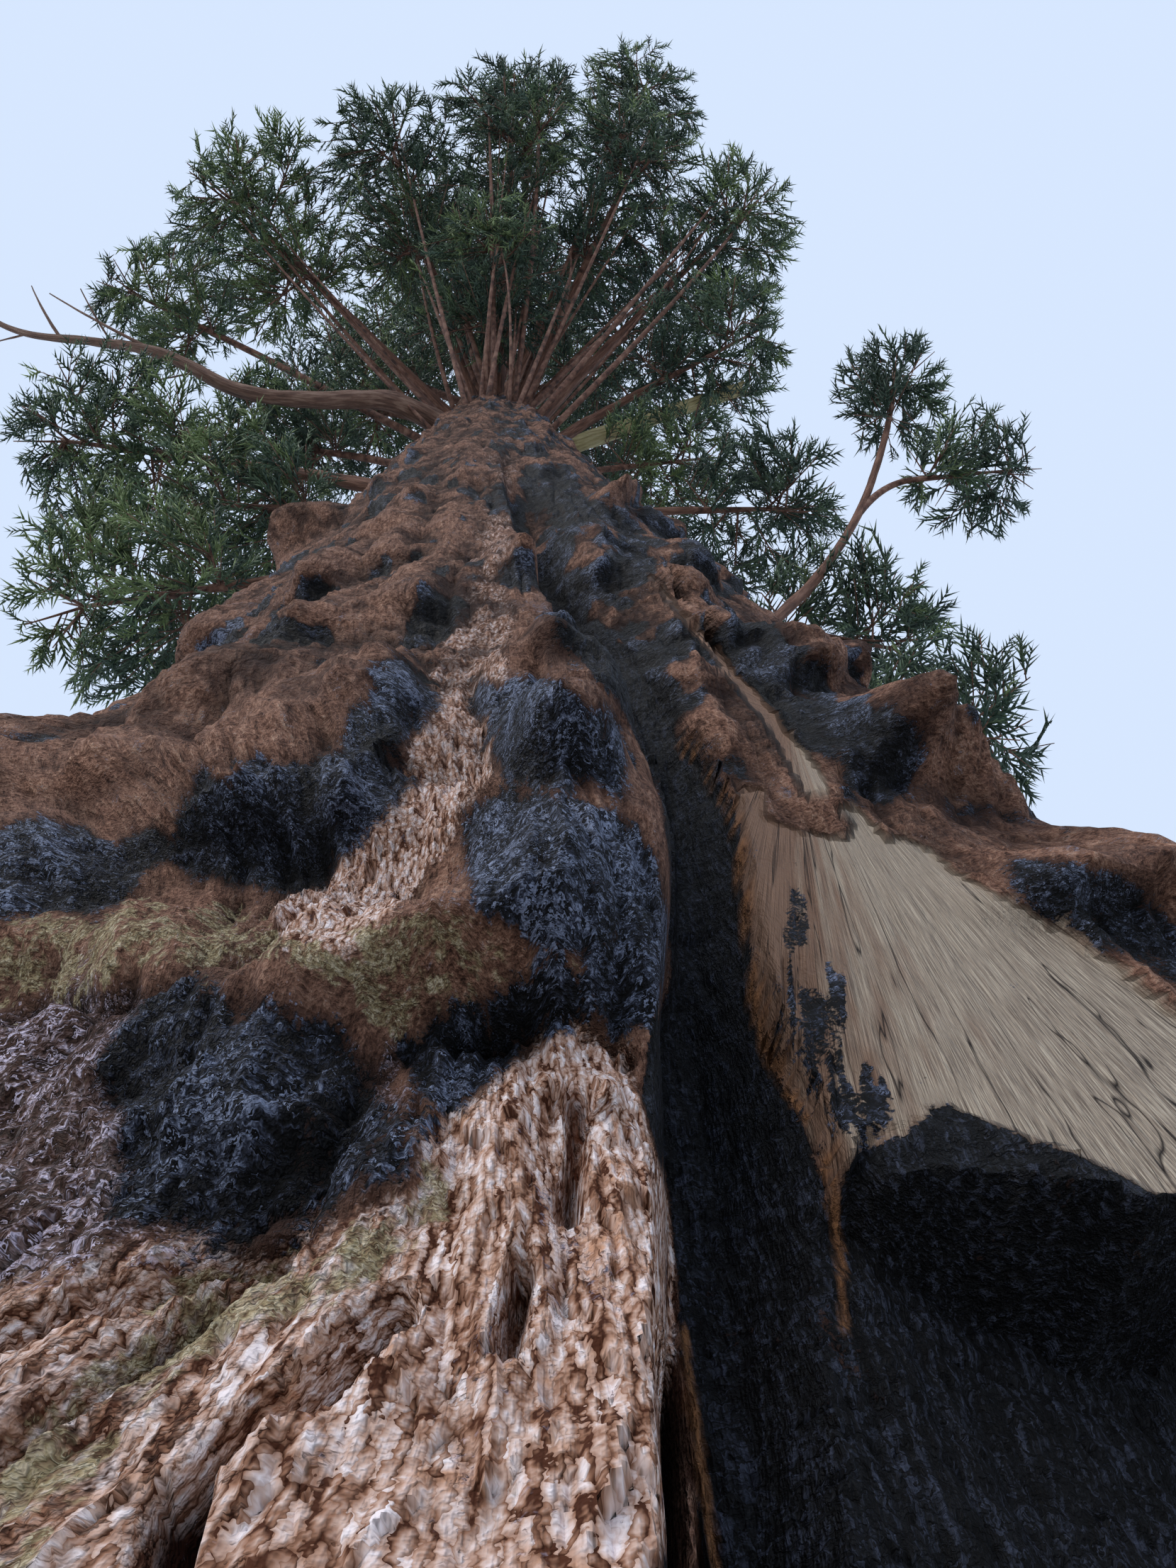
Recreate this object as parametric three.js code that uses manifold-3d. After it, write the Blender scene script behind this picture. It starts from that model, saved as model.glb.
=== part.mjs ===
// Giant sequoia, scaled evenly to 40 m: a fire-scarred trunk with its root flare, live boughs that each end in
// a mass of foliage, a crown that narrows to the tip, one long dead bough and one broken stub.
// Millimetres, +Z up, the origin at the centre of the flat cut at ground level.
// Azimuths are degrees from the front (-Y), growing towards +X. The burnt face looks to the front.
import * as THREE from "three";
import { mergeVertices } from "three/addons/utils/BufferGeometryUtils.js";
import Module from "manifold-3d";

const wasm = await Module();
wasm.setup();

// The whole tree
const TREE_HEIGHT = 40000;
const TRUNK_TOP = 37100;
const GAP = 0.3; // clearance between two pieces that touch
const LIMB_CLEARANCE = 25; // the least air between a twig or leaf and a limb that isn't its own

// The trunk's column and root flare
const COLUMN_RADIUS = 1570;
const COLUMN_TAPER = 0.62;
const TOP_SLENDER = 0.6; // how much thinner than that the last quarter runs out
const FLARE = { sharp: 550, sharpHeight: 600, slow: 300, slowHeight: 4000 };
const BURNT_FRONT = { width: 32, loss: 0.7 }; // the fire took most of the flare on the front
const BUTTRESSES = [
  { count: 5, size: 85, turn: 20 },
  { count: 8, size: 50, turn: 75 },
  { count: 13, size: 26, turn: 10 },
];
const BUTTRESS_HEIGHT = 2600;
const FLUTE_SHARE = 0.3; // what is left of the buttresses high up the trunk

// The burnt groove: its line as heights and azimuths, and its width on either side in degrees
const GROOVE_LINE = [
  [0, 2.6],
  [1300, 3.3],
  [1650, 4.8],
  [2250, 7],
  [2850, 8],
  [3800, 6.5],
  [5900, 4.2],
  [9500, 3.2],
];
const GROOVE = { depth: 190, left: 2.6, right: 6.5, fadeFrom: 4500, fadeTo: 9500 };
// The charred face at the foot that the dead wood stands out over: its outline seen from the front of that
// face, as distances across and up, and the distance of its back wall from the trunk's axis
const HOLLOW = { azimuth: 22, backWall: 1440 };
const HOLLOW_OUTLINE = [
  [-560, -50],
  [-560, 1250],
  [-500, 1400],
  [-400, 1480],
  [-385, 1640],
  [-300, 1690],
  [-200, 1655],
  [-90, 1625],
  [40, 1660],
  [200, 1850],
  [330, 1960],
  [450, 1700],
  [540, 900],
  [600, -50],
];
const DEAD_WOOD = { azimuth: 18, foot: 1500, top: 3300, halfWidth: 11, depth: 60 };
const LUMPS = [
  { azimuth: 3, height: 2850, width: 3.6, tall: 300, out: 130 },
  { azimuth: 2.6, height: 2200, width: 3.4, tall: 260, out: 140 },
  { azimuth: -9.5, height: 1800, width: 5, tall: 200, out: 60 },
  { azimuth: -11, height: 2500, width: 5, tall: 330, out: 70 },
  { azimuth: -19, height: 3150, width: 6, tall: 420, out: 110 },
  { azimuth: -33, height: 2700, width: 11, tall: 750, out: 150 },
  { azimuth: -50, height: 8300, width: 9, tall: 480, out: 300 },
  { azimuth: 28, height: 3700, width: 3.5, tall: 260, out: 120 },
  { azimuth: 30, height: 3000, width: 3.5, tall: 230, out: 130 },
  { azimuth: 36, height: 2400, width: 4.5, tall: 240, out: 100 },
  { azimuth: 75, height: 3300, width: 12, tall: 700, out: 160 },
  { azimuth: 150, height: 2600, width: 14, tall: 900, out: 210 },
  { azimuth: -120, height: 3600, width: 13, tall: 800, out: 190 },
];

// The trunk's mesh is finer at the front and the foot
const TRUNK_SIDES = 42;
const FRONT_CROWDING = 43; // degrees that the mesh's sides are drawn towards the front
const RING_STEP = 160;
const RING_GROWTH = 0.105;

// Limbs and foliage
const BOUGH_SIDES = 5;
const BOUGH_STEPS = 4;
const BOUGH_THICKNESS = 0.085; // a bough's radius at the trunk, as a share of its mass's size
const BOUGH_TIP = 0.5; // its radius at the mass, as a share of that
const BOUGH_STRAIGHT_END = 0.45;
const MASS_WIDTH = 0.95; // the side and upright radii of a mass, as shares of the one along its stem
const MASS_DEPTH = 0.8;
const ENTRY = 0.86; // how far back from the middle of a mass its bough ends
const STEM_SIDES = 4;
const STEM_REACH = 0.5;
const TWIG_SIDES = 3;
const TWIG_THICKNESS = 0.022;
const TWIG_REACH = 0.36; // how far out a twig's own spray starts, as a share of the room that it has
const LEAF = { most: 0.95, least: 0.24, widths: [0.66, 0.48, 0.32], thick: 0.5, belly: 0.62 };
const LEAF_FAN = 1.1; // how far the side sprays of a twig lean out from it
const GOLDEN_ANGLE = Math.PI * (3 - Math.sqrt(5));
const CELL_MARGIN = 0.03;
const SIMPLIFY = 4; // millimetres by which a mass's surface may move when its small triangles are merged
const WELD = 0.05;

// The boughs that the front view shows. reach and height place the middle of the mass, size is its radius,
// from is the height at which the bough leaves the trunk, and start its azimuth there, where it differs.
const BOUGHS = [
  { name: "front_left", azimuth: -18, reach: 4300, height: 24000, size: 1980, from: 20300, tilt: 35 },
  { name: "front_middle", azimuth: 6, reach: 4500, height: 24300, size: 1930, from: 20900, tilt: 35 },
  { name: "front_right", azimuth: 30, reach: 4600, height: 24000, size: 1930, from: 20500, tilt: 35 },
  { name: "front_far", azimuth: 27, reach: 6500, height: 26900, size: 1430, from: 23600, tilt: 40, start: 15 },
  { name: "right_near", azimuth: 50, reach: 5200, height: 23300, size: 1600, from: 20100, tilt: 25 },
  { name: "right_low", azimuth: 66, reach: 3900, height: 20700, size: 1380, from: 18500, tilt: 20 },
  { name: "left_high", azimuth: -47, reach: 5000, height: 23200, size: 1870, from: 20600, tilt: 25 },
  { name: "left_outer", azimuth: -84, reach: 5000, height: 17700, size: 1490, from: 15800, tilt: 15 },
  { name: "left_lower", azimuth: -100, reach: 3900, height: 13900, size: 1430, from: 11700, tilt: 15 },
  { name: "right_middle", azimuth: 93, reach: 3500, height: 16300, size: 1210, from: 14300, tilt: 20 },
  { name: "right_lower", azimuth: 106, reach: 3900, height: 13000, size: 1210, from: 11200, tilt: 20 },
  { name: "right_sparse", azimuth: 77, reach: 5400, height: 16700, size: 940, from: 8900, start: 118, bend: [104, 3650, 12500] },
  { name: "right_lowest", azimuth: 108, reach: 4150, height: 10500, size: 1040, from: 8300, tilt: 20, start: 122 },
];
// Masses whose stems leave the trunk itself
const INNER_MASSES = [
  { name: "front_high", azimuth: 10, reach: 5700, height: 26600, size: 1320, tilt: 40, from: 22500 },
  { name: "left_far", azimuth: -66, reach: 5500, height: 21400, size: 1260, tilt: 20, from: 18800 },
  { name: "front_inner", azimuth: 2, reach: 2700, height: 21400, size: 1380, tilt: 30 },
  { name: "left_inner", azimuth: -84, reach: 3200, height: 19700, size: 1380, tilt: 20 },
  { name: "left_near", azimuth: -90, reach: 3050, height: 15900, size: 1260, tilt: 20 },
  { name: "right_inner", azimuth: 88, reach: 2700, height: 19200, size: 1160, tilt: 25 },
];
// The mass that hangs on the side of the sparse right bough
const SIDE_MASS = { name: "right_side", azimuth: 86, reach: 5750, height: 15000, size: 880, tilt: 5 };
const SIDE_MASS_AT = 0.72; // where on that bough it starts
// The boughs behind the trunk climb it on a spiral
const BACK = { count: 5, first: 138, turn: 47, low: 12500, rise: 2600, reach: 4200, size: 2090, drop: 2400 };
// The upper crown: tiers of masses on stems from the trunk
const TIERS = [
  { height: 27600, count: 5, reach: 3200, size: 2100, turn: 60, tilt: 35 },
  { height: 31300, count: 4, reach: 2700, size: 2100, turn: 20, tilt: 45 },
  { height: 34900, count: 3, reach: 2000, size: 1950, turn: 75, tilt: 55 },
];
const TOP_MASS = { name: "top", azimuth: 0, reach: 0, height: 38450, size: 1550, tilt: 90 };

// The dead bough's line, as azimuth, reach and height, its radii and its bare twigs
const DEAD_BOUGH = [
  [-46, 700, 19600],
  [-56, 1750, 19350],
  [-67, 2700, 18750],
  [-71, 3700, 18550],
  [-70, 4900, 19000],
  [-72, 5900, 19450],
  [-74, 7100, 19900],
  [-73, 8300, 20600],
];
const DEAD_BOUGH_RADII = [150, 28];
const DEAD_BOUGH_SPLIT = 0.42;
const DEAD_TWIGS = [
  { at: 0.58, azimuth: -66, rise: 1250, length: 2300 },
  { at: 0.78, azimuth: -40, rise: 900, length: 1300 },
  { at: 0.9, azimuth: -95, rise: -700, length: 1200 },
];
const STUB = { azimuth: 80, height: 19700, endAzimuth: 75, endReach: 4150, endHeight: 20500, radii: [130, 105] };

const COLOURS = {
  bark: 0x7a4a32,
  deadWood: 0x8f8779,
  bough: 0x6d4a3a,
  foliage: 0x44603a,
};

const rad = THREE.MathUtils.degToRad;
const smooth = (low, high, x) => THREE.MathUtils.smoothstep(x, low, high);
const hump = (x) => Math.exp(-x * x);

// A point from its azimuth in degrees, its distance from the trunk's axis and its height.
function place(azimuth, reach, height) {
  return new THREE.Vector3(reach * Math.sin(rad(azimuth)), -reach * Math.cos(rad(azimuth)), height);
}

// The shorter way round from one azimuth to another, in degrees.
function around(azimuth, from) {
  return ((((azimuth - from + 180) % 360) + 360) % 360) - 180;
}

function columnRadius(height) {
  const slender = 1 - TOP_SLENDER * smooth(0.72, 1, height / TREE_HEIGHT);
  return COLUMN_RADIUS * Math.pow(Math.max(0, 1 - height / TREE_HEIGHT), COLUMN_TAPER) * slender;
}

function rootFlare(azimuth, height) {
  const lost = BURNT_FRONT.loss * hump(around(azimuth, 0) / BURNT_FRONT.width);
  const sharp = FLARE.sharp * Math.exp(-height / FLARE.sharpHeight);
  const slow = FLARE.slow * Math.exp(-height / FLARE.slowHeight);
  return (sharp + slow) * (1 - lost);
}

function buttresses(azimuth, height) {
  const left = FLUTE_SHARE + (1 - FLUTE_SHARE) * Math.exp(-height / BUTTRESS_HEIGHT);
  const whole = BUTTRESSES.reduce((sum, b) => sum + b.size * Math.cos(rad(b.count * azimuth + b.turn)), 0);
  const burnt = 1 - BURNT_FRONT.loss * hump(around(azimuth, 0) / BURNT_FRONT.width);
  return whole * left * burnt * Math.min(1, columnRadius(height) / 1000);
}

// The value at a height, from a table of heights and values.
function along(table, height) {
  const next = table.findIndex(([level]) => level > height);
  if (next < 0) return table.at(-1)[1];
  if (next === 0) return table[0][1];
  const [low, high] = [table[next - 1], table[next]];
  return THREE.MathUtils.mapLinear(height, low[0], high[0], low[1], high[1]);
}

// The groove is steep on its left and opens gently to the right.
function groove(azimuth, height) {
  const off = around(azimuth, along(GROOVE_LINE, height));
  const width = off < 0 ? GROOVE.left : GROOVE.right;
  return GROOVE.depth * hump(off / width) * (1 - smooth(GROOVE.fadeFrom, GROOVE.fadeTo, height));
}

function bareWood(azimuth, height) {
  const up = (height - DEAD_WOOD.foot) / (DEAD_WOOD.top - DEAD_WOOD.foot);
  const halfWidth = DEAD_WOOD.halfWidth * (1 - 0.75 * THREE.MathUtils.clamp(up, 0, 1));
  const across = Math.abs(around(azimuth, DEAD_WOOD.azimuth + 3 * up)) / halfWidth;
  return DEAD_WOOD.depth * smooth(1.15, 0.9, across) * smooth(1.1, 0.9, up) * smooth(-0.35, -0.1, up);
}

function lumps(azimuth, height) {
  return LUMPS.reduce((sum, lump) => {
    const side = around(azimuth, lump.azimuth) / lump.width;
    const up = (height - lump.height) / lump.tall;
    return sum + lump.out * hump(side) * hump(up > 0 ? up : up * 1.5);
  }, 0);
}

// The trunk's surface, as its distance from the axis.
function trunkRadius(azimuth, height) {
  return (
    columnRadius(height) +
    rootFlare(azimuth, height) +
    buttresses(azimuth, height) +
    lumps(azimuth, height) -
    groove(azimuth, height) -
    bareWood(azimuth, height)
  );
}

function ringHeights() {
  const heights = [0];
  while (heights.at(-1) < TRUNK_TOP) {
    heights.push(heights.at(-1) + RING_STEP + RING_GROWTH * heights.at(-1));
  }
  const stretch = TRUNK_TOP / heights.at(-1);
  return heights.map((height) => height * stretch);
}

// A lathed column whose corners are then moved out to the trunk's surface, grown by clearance.
function trunkGeometry(clearance = 0) {
  const heights = ringHeights();
  const profile = [
    new THREE.Vector2(0, heights[0]),
    ...heights.map((height) => new THREE.Vector2(columnRadius(height), height)),
    new THREE.Vector2(0, heights.at(-1)),
  ];
  const geometry = new THREE.LatheGeometry(profile, TRUNK_SIDES).rotateX(Math.PI / 2);
  const position = geometry.getAttribute("position");
  for (let i = 0; i < position.count; i++) {
    const side = Math.floor(i / profile.length) % TRUNK_SIDES;
    const ring = i % profile.length;
    const even = (360 * side) / TRUNK_SIDES;
    const azimuth = even - FRONT_CROWDING * Math.sin(rad(even));
    const height = profile[ring].y;
    const onAxis = ring === 0 || ring === profile.length - 1;
    const point = place(azimuth, onAxis ? 0 : trunkRadius(azimuth, height) + clearance, height);
    position.setXYZ(i, point.x, point.y, point.z + Math.sign(height - 1) * clearance);
  }
  return geometry;
}

// The block that is cut out of the trunk's foot: the outline of the charred face, extruded outwards.
function hollowGeometry() {
  const outline = new THREE.Shape(HOLLOW_OUTLINE.map(([across, up]) => new THREE.Vector2(across, up)));
  const geometry = new THREE.ExtrudeGeometry(outline, { depth: 1500, bevelEnabled: false });
  return geometry.rotateX(Math.PI / 2).translate(0, -HOLLOW.backWall, 0).rotateZ(rad(HOLLOW.azimuth));
}

// A closed geometry as a solid.
function solidOf(geometry) {
  const bare = new THREE.BufferGeometry().setAttribute("position", geometry.getAttribute("position"));
  if (geometry.index) bare.setIndex(geometry.index);
  const merged = mergeVertices(bare, 1e-3);
  const mesh = new wasm.Mesh({
    numProp: 3,
    vertProperties: new Float32Array(merged.getAttribute("position").array),
    triVerts: new Uint32Array(merged.index.array),
  });
  const solid = new wasm.Manifold(mesh);
  if (solid.volume() >= 0) return solid;
  const turned = new Uint32Array(merged.index.array);
  for (let i = 0; i < turned.length; i += 3) [turned[i], turned[i + 1]] = [turned[i + 1], turned[i]];
  return new wasm.Manifold(new wasm.Mesh({ numProp: 3, vertProperties: mesh.vertProperties, triVerts: turned }));
}

// A solid's surface as a geometry, with corners closer than WELD made one and the slivers between them dropped.
function geometryOf(solid) {
  const mesh = solid.getMesh();
  const raw = new THREE.BufferGeometry();
  raw.setAttribute("position", new THREE.BufferAttribute(new Float32Array(mesh.vertProperties), 3));
  raw.setIndex(new THREE.BufferAttribute(new Uint32Array(mesh.triVerts), 1));
  const geometry = mergeVertices(raw, WELD);
  const corners = Array.from(geometry.index.array);
  const faces = Array.from({ length: corners.length / 3 }, (_, i) => corners.slice(3 * i, 3 * i + 3));
  geometry.setIndex(faces.filter((face) => new Set(face).size === 3).flat());
  geometry.computeVertexNormals();
  return geometry;
}

// Two unit vectors square to a direction.
function crossways(direction) {
  const reference = Math.abs(direction.z) > 0.9 ? new THREE.Vector3(1, 0, 0) : new THREE.Vector3(0, 0, 1);
  const side = new THREE.Vector3().crossVectors(direction, reference).normalize();
  return { side, up: new THREE.Vector3().crossVectors(side, direction) };
}

// A limb: a cylinder bent along a curve, thinning from its first radius to its last.
function limb(curve, [base, tip], sides, steps) {
  const geometry = new THREE.CylinderGeometry(1, 1, 1, sides, steps);
  const position = geometry.getAttribute("position");
  const corner = new THREE.Vector3();
  for (let i = 0; i < position.count; i++) {
    corner.fromBufferAttribute(position, i);
    const along = THREE.MathUtils.clamp(corner.y + 0.5, 0, 1);
    const middle = curve.getPoint(along);
    const { side, up } = crossways(curve.getTangent(along));
    const radius = THREE.MathUtils.lerp(base, tip, along);
    middle.addScaledVector(side, corner.x * radius).addScaledVector(up, corner.z * radius);
    position.setXYZ(i, middle.x, middle.y, middle.z);
  }
  return solidOf(geometry);
}

function straight(from, to) {
  return new THREE.LineCurve3(from, to);
}

// A mass's middle, the axes of its space and the point at which its stem comes in.
function massSpace(row) {
  const middle = place(row.azimuth, row.reach, row.height);
  const axis = row.bend
    ? middle.clone().sub(place(...row.bend)).normalize()
    : place(row.azimuth, Math.cos(rad(row.tilt)), Math.sin(rad(row.tilt)));
  const { side, up } = crossways(axis);
  const radii = [row.size, row.size * MASS_WIDTH, row.size * MASS_DEPTH];
  const entry = middle.clone().addScaledVector(axis, -row.size * ENTRY);
  return { ...row, middle, axis, side, up, radii, entry };
}

// How far out a point lies in a mass's space: 0 at the middle and 1 on its surface.
function outness(mass, point) {
  const off = point.clone().sub(mass.middle);
  const [a, b, c] = mass.radii;
  return Math.hypot(off.dot(mass.axis) / a, off.dot(mass.side) / b, off.dot(mass.up) / c);
}

// Whether a point lies in a mass's own share of the crown: inside its space and nearer to it than to any other.
function inCell(mass, masses, point, slack = 0) {
  const own = outness(mass, point);
  if (own > 1 + slack) return false;
  return masses.every((other) => other === mass || outness(other, point) > own + CELL_MARGIN - slack);
}

// How far a line from a point runs before it leaves the mass's share of the crown.
function roomAlong(mass, masses, from, direction) {
  const step = mass.size / 30;
  let room = 0;
  while (inCell(mass, masses, from.clone().addScaledVector(direction, room + step))) room += step;
  return room;
}

function boughCurve(row) {
  const mass = massSpace(row);
  const foot = place(row.start ?? row.azimuth, trunkRadius(row.start ?? row.azimuth, row.from) * 0.6, row.from);
  const straightEnd = mass.entry.clone().addScaledVector(mass.axis, -BOUGH_STRAIGHT_END * mass.entry.distanceTo(foot));
  return new THREE.QuadraticBezierCurve3(foot, row.bend ? place(...row.bend) : straightEnd, mass.entry.clone());
}

function boughRadii(row) {
  const base = BOUGH_THICKNESS * row.size + 30;
  return [base, base * BOUGH_TIP];
}

// One spray of foliage: an octahedron whose root is sunk into its twig, broader towards its tip and flatter than
// it is wide.
function spray(root, direction, length, flatSide, width, sunk) {
  const across = flatSide.clone().addScaledVector(direction, -flatSide.dot(direction)).normalize();
  const thin = new THREE.Vector3().crossVectors(direction, across);
  const geometry = new THREE.OctahedronGeometry(1, 0);
  const position = geometry.getAttribute("position");
  const corner = new THREE.Vector3();
  for (let i = 0; i < position.count; i++) {
    corner.fromBufferAttribute(position, i);
    const out = corner.x > 0.5 ? length * 0.98 : corner.x < -0.5 ? -sunk : length * LEAF.belly;
    const point = root.clone().addScaledVector(direction, out);
    point.addScaledVector(across, (corner.y * length * width) / 2);
    point.addScaledVector(thin, (corner.z * length * width * LEAF.thick) / 2);
    position.setXYZ(i, point.x, point.y, point.z);
  }
  return solidOf(geometry);
}

// A three-sided twig that widens at its end into a spray of its own.
function leafyTwig(root, direction, length, flatSide, width, size) {
  const across = flatSide.clone().addScaledVector(direction, -flatSide.dot(direction)).normalize();
  const thin = new THREE.Vector3().crossVectors(direction, across);
  const thickness = TWIG_THICKNESS * size;
  const half = length * (1 - TWIG_REACH) * width * 0.58;
  const rings = [
    [1, half * 0.05, half * 0.05],
    [1 - (1 - TWIG_REACH) * (1 - LEAF.belly), half, half * LEAF.thick],
    [TWIG_REACH, thickness * 0.7, thickness * 0.7],
    [0, thickness, thickness],
  ];
  const geometry = new THREE.CylinderGeometry(1, 1, 1, TWIG_SIDES, rings.length - 1);
  const position = geometry.getAttribute("position");
  for (let i = 0; i < position.count; i++) {
    const ring = rings[Math.round((0.5 - position.getY(i)) * (rings.length - 1))];
    const point = root.clone().addScaledVector(direction, length * ring[0] * 0.98);
    point.addScaledVector(across, position.getX(i) * ring[1]).addScaledVector(thin, position.getZ(i) * ring[2]);
    position.setXYZ(i, point.x, point.y, point.z);
  }
  return solidOf(geometry);
}

// A piece stays in its mass's own share of the crown and clear of every other limb.
function staysClear(piece, mass, masses, limbs) {
  const corners = piece.getMesh().vertProperties;
  for (let i = 0; i < corners.length; i += 3) {
    const corner = new THREE.Vector3(corners[i], corners[i + 1], corners[i + 2]);
    if (!inCell(mass, masses, corner, 0.01)) return false;
  }
  return limbs.every((other) => piece.minGap(other, LIMB_CLEARANCE * 2) > LIMB_CLEARANCE);
}

// The twigs of a mass leave its stem on a spiral, and each carries three sprays that reach out to the edge of the
// mass's share of the crown. A spray that would touch something else is narrowed, then left out.
function massPieces(mass, masses, limbs) {
  const stemEnd = mass.middle.clone().addScaledVector(mass.axis, mass.size * STEM_REACH);
  const stemLine = straight(mass.entry, stemEnd);
  const twigCount = Math.round(1.6 + mass.size / 1050);
  const pieces = [];
  const clear = (piece) => staysClear(piece, mass, masses, limbs);
  const addSpray = (root, direction, flatSide, sunk) => {
    const length = Math.min(LEAF.most * mass.size, roomAlong(mass, masses, root, direction));
    if (length < LEAF.least * mass.size) return;
    const fitting = LEAF.widths.map((width) => spray(root, direction, length, flatSide, width, sunk)).find(clear);
    if (fitting) pieces.push(fitting);
  };
  for (let i = 0; i < twigCount; i++) {
    const share = (i + 0.5) / twigCount;
    const root = stemLine.getPoint(0.1 + 0.8 * share);
    const turn = i * GOLDEN_ANGLE + rad(mass.azimuth);
    const out = mass.side.clone().multiplyScalar(Math.cos(turn)).addScaledVector(mass.up, Math.sin(turn));
    const direction = out.clone().addScaledVector(mass.axis, -0.4 + 1.0 * share).normalize();
    const room = roomAlong(mass, masses, root, direction);
    if (room < LEAF.least * mass.size) continue;
    const fan = new THREE.Vector3().crossVectors(direction, mass.axis).normalize();
    const twig = LEAF.widths.map((width) => leafyTwig(root, direction, room, fan, width, mass.size)).find(clear);
    if (!twig) continue;
    pieces.push(twig);
    for (const way of [-1, 1]) {
      const lean = direction.clone().addScaledVector(fan, way * LEAF_FAN).normalize();
      const fork = root.clone().addScaledVector(direction, room * TWIG_REACH * (0.8 + 0.2 * way));
      addSpray(fork, lean, mass.axis, 0.02 * mass.size);
    }
  }
  addSpray(stemEnd, mass.axis, mass.side, 0.06 * mass.size);
  return pieces;
}

function largestBody(solid) {
  return solid.decompose().sort((a, b) => b.volume() - a.volume())[0];
}

const group = new THREE.Group();
group.name = "giant_sequoia";

function addNode(name, solid, colour, roughness = 0.9) {
  const material = new THREE.MeshStandardMaterial({ color: colour, roughness, metalness: 0 });
  const mesh = new THREE.Mesh(geometryOf(solid), material);
  mesh.name = name;
  group.add(mesh);
}

const hollow = solidOf(hollowGeometry());
const trunk = solidOf(trunkGeometry()).subtract(hollow);
const trunkWithGap = solidOf(trunkGeometry(GAP));
addNode("trunk", trunk, COLOURS.bark);

// The live boughs, each cut clear of the trunk that it grows from
const backRows = Array.from({ length: BACK.count }, (_, i) => ({
  name: `back_${i + 1}`,
  azimuth: BACK.first + BACK.turn * ((i * 2) % BACK.count) * 0.5,
  reach: BACK.reach,
  height: BACK.low + BACK.rise * i,
  size: BACK.size,
  from: BACK.low + BACK.rise * i - BACK.drop,
  tilt: 20,
}));
const boughRows = [...BOUGHS, ...backRows];
const boughs = boughRows.map((row) => {
  const curve = boughCurve(row);
  const solid = limb(curve, boughRadii(row), BOUGH_SIDES, BOUGH_STEPS).subtract(trunkWithGap);
  return { row, curve, solid: largestBody(solid) };
});
for (const { row, solid } of boughs) addNode(`bough_${row.name}`, solid, COLOURS.bough);

// The dead bough, split at its bend, with its bare twigs on the outer half
const deadLine = new THREE.CatmullRomCurve3(DEAD_BOUGH.map(([azimuth, reach, height]) => place(azimuth, reach, height)));
let deadBough = limb(deadLine, DEAD_BOUGH_RADII, 6, 13).subtract(trunkWithGap);
for (const twig of DEAD_TWIGS) {
  const root = deadLine.getPoint(twig.at);
  const level = Math.sqrt(twig.length ** 2 - twig.rise ** 2);
  const end = root.clone().add(place(twig.azimuth, level, twig.rise));
  const bend = root.clone().lerp(end, 0.5).add(new THREE.Vector3(0, 0, -0.12 * twig.length));
  deadBough = deadBough.add(limb(new THREE.QuadraticBezierCurve3(root, bend, end), [32, 12], 4, 3));
}
const splitFace = deadLine.getTangent(DEAD_BOUGH_SPLIT);
const splitAt = deadLine.getPoint(DEAD_BOUGH_SPLIT).dot(splitFace);
const deadInner = largestBody(deadBough.trimByPlane(splitFace.clone().negate().toArray(), -splitAt));
const deadOuter = largestBody(deadBough.trimByPlane(splitFace.toArray(), splitAt + GAP));
addNode("dead_bough_inner", deadInner, COLOURS.bough);
addNode("dead_bough_outer", deadOuter, COLOURS.bough);

const stubLine = straight(
  place(STUB.azimuth, columnRadius(STUB.height) * 0.6, STUB.height),
  place(STUB.endAzimuth, STUB.endReach, STUB.endHeight),
);
const stub = largestBody(limb(stubLine, STUB.radii, 8, 4).subtract(trunkWithGap));
addNode("broken_stub", stub, COLOURS.deadWood);

// The stems of the foliage: on a bough's tip, on the trunk, or on the side of the sparse bough
const tierRows = TIERS.flatMap((tier, t) =>
  Array.from({ length: tier.count }, (_, i) => ({
    name: `tier_${t + 1}_${i + 1}`,
    azimuth: tier.turn + (360 * i) / tier.count,
    reach: tier.reach,
    height: tier.height + (i % 2) * 500,
    size: tier.size,
    tilt: tier.tilt,
  })),
);
function stemFrom(foot, mass, radius) {
  const end = mass.middle.clone().addScaledVector(mass.axis, mass.size * STEM_REACH);
  const bend = mass.entry.clone().addScaledVector(mass.axis, -0.3 * mass.entry.distanceTo(foot));
  const lower = limb(new THREE.QuadraticBezierCurve3(foot, bend, mass.entry.clone()), [radius, radius * 0.7], STEM_SIDES, 3);
  const start = mass.entry.clone().addScaledVector(mass.axis, -radius * 0.3);
  return lower.add(limb(straight(start, end), [radius * 0.7, radius * 0.3], STEM_SIDES, 1));
}
const trunkMasses = [...INNER_MASSES, ...tierRows].map((row) => {
  const mass = massSpace(row);
  const footHeight = row.from ?? row.height - row.reach * 0.62;
  const foot = place(row.azimuth, columnRadius(footHeight) * 0.6, footHeight);
  return { mass, stem: stemFrom(foot, mass, 0.065 * row.size), cutBy: trunkWithGap };
});
const boughMasses = boughs.map(({ row }) => {
  const mass = massSpace(row);
  const start = mass.entry.clone().addScaledVector(mass.axis, GAP);
  const end = mass.middle.clone().addScaledVector(mass.axis, mass.size * STEM_REACH);
  const tip = boughRadii(row)[1];
  return { mass, stem: limb(straight(start, end), [tip, tip * 0.45], STEM_SIDES, 1) };
});
const sparse = boughs.find(({ row }) => row.name === "right_sparse");
const sideMass = massSpace(SIDE_MASS);
const sideFoot = sparse.curve.getPoint(SIDE_MASS_AT);
const sideLimb = limb(sparse.curve, boughRadii(sparse.row).map((r) => r + GAP), BOUGH_SIDES, BOUGH_STEPS);
const sideStem = stemFrom(sideFoot, sideMass, 45);
const topMass = massSpace(TOP_MASS);
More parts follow.
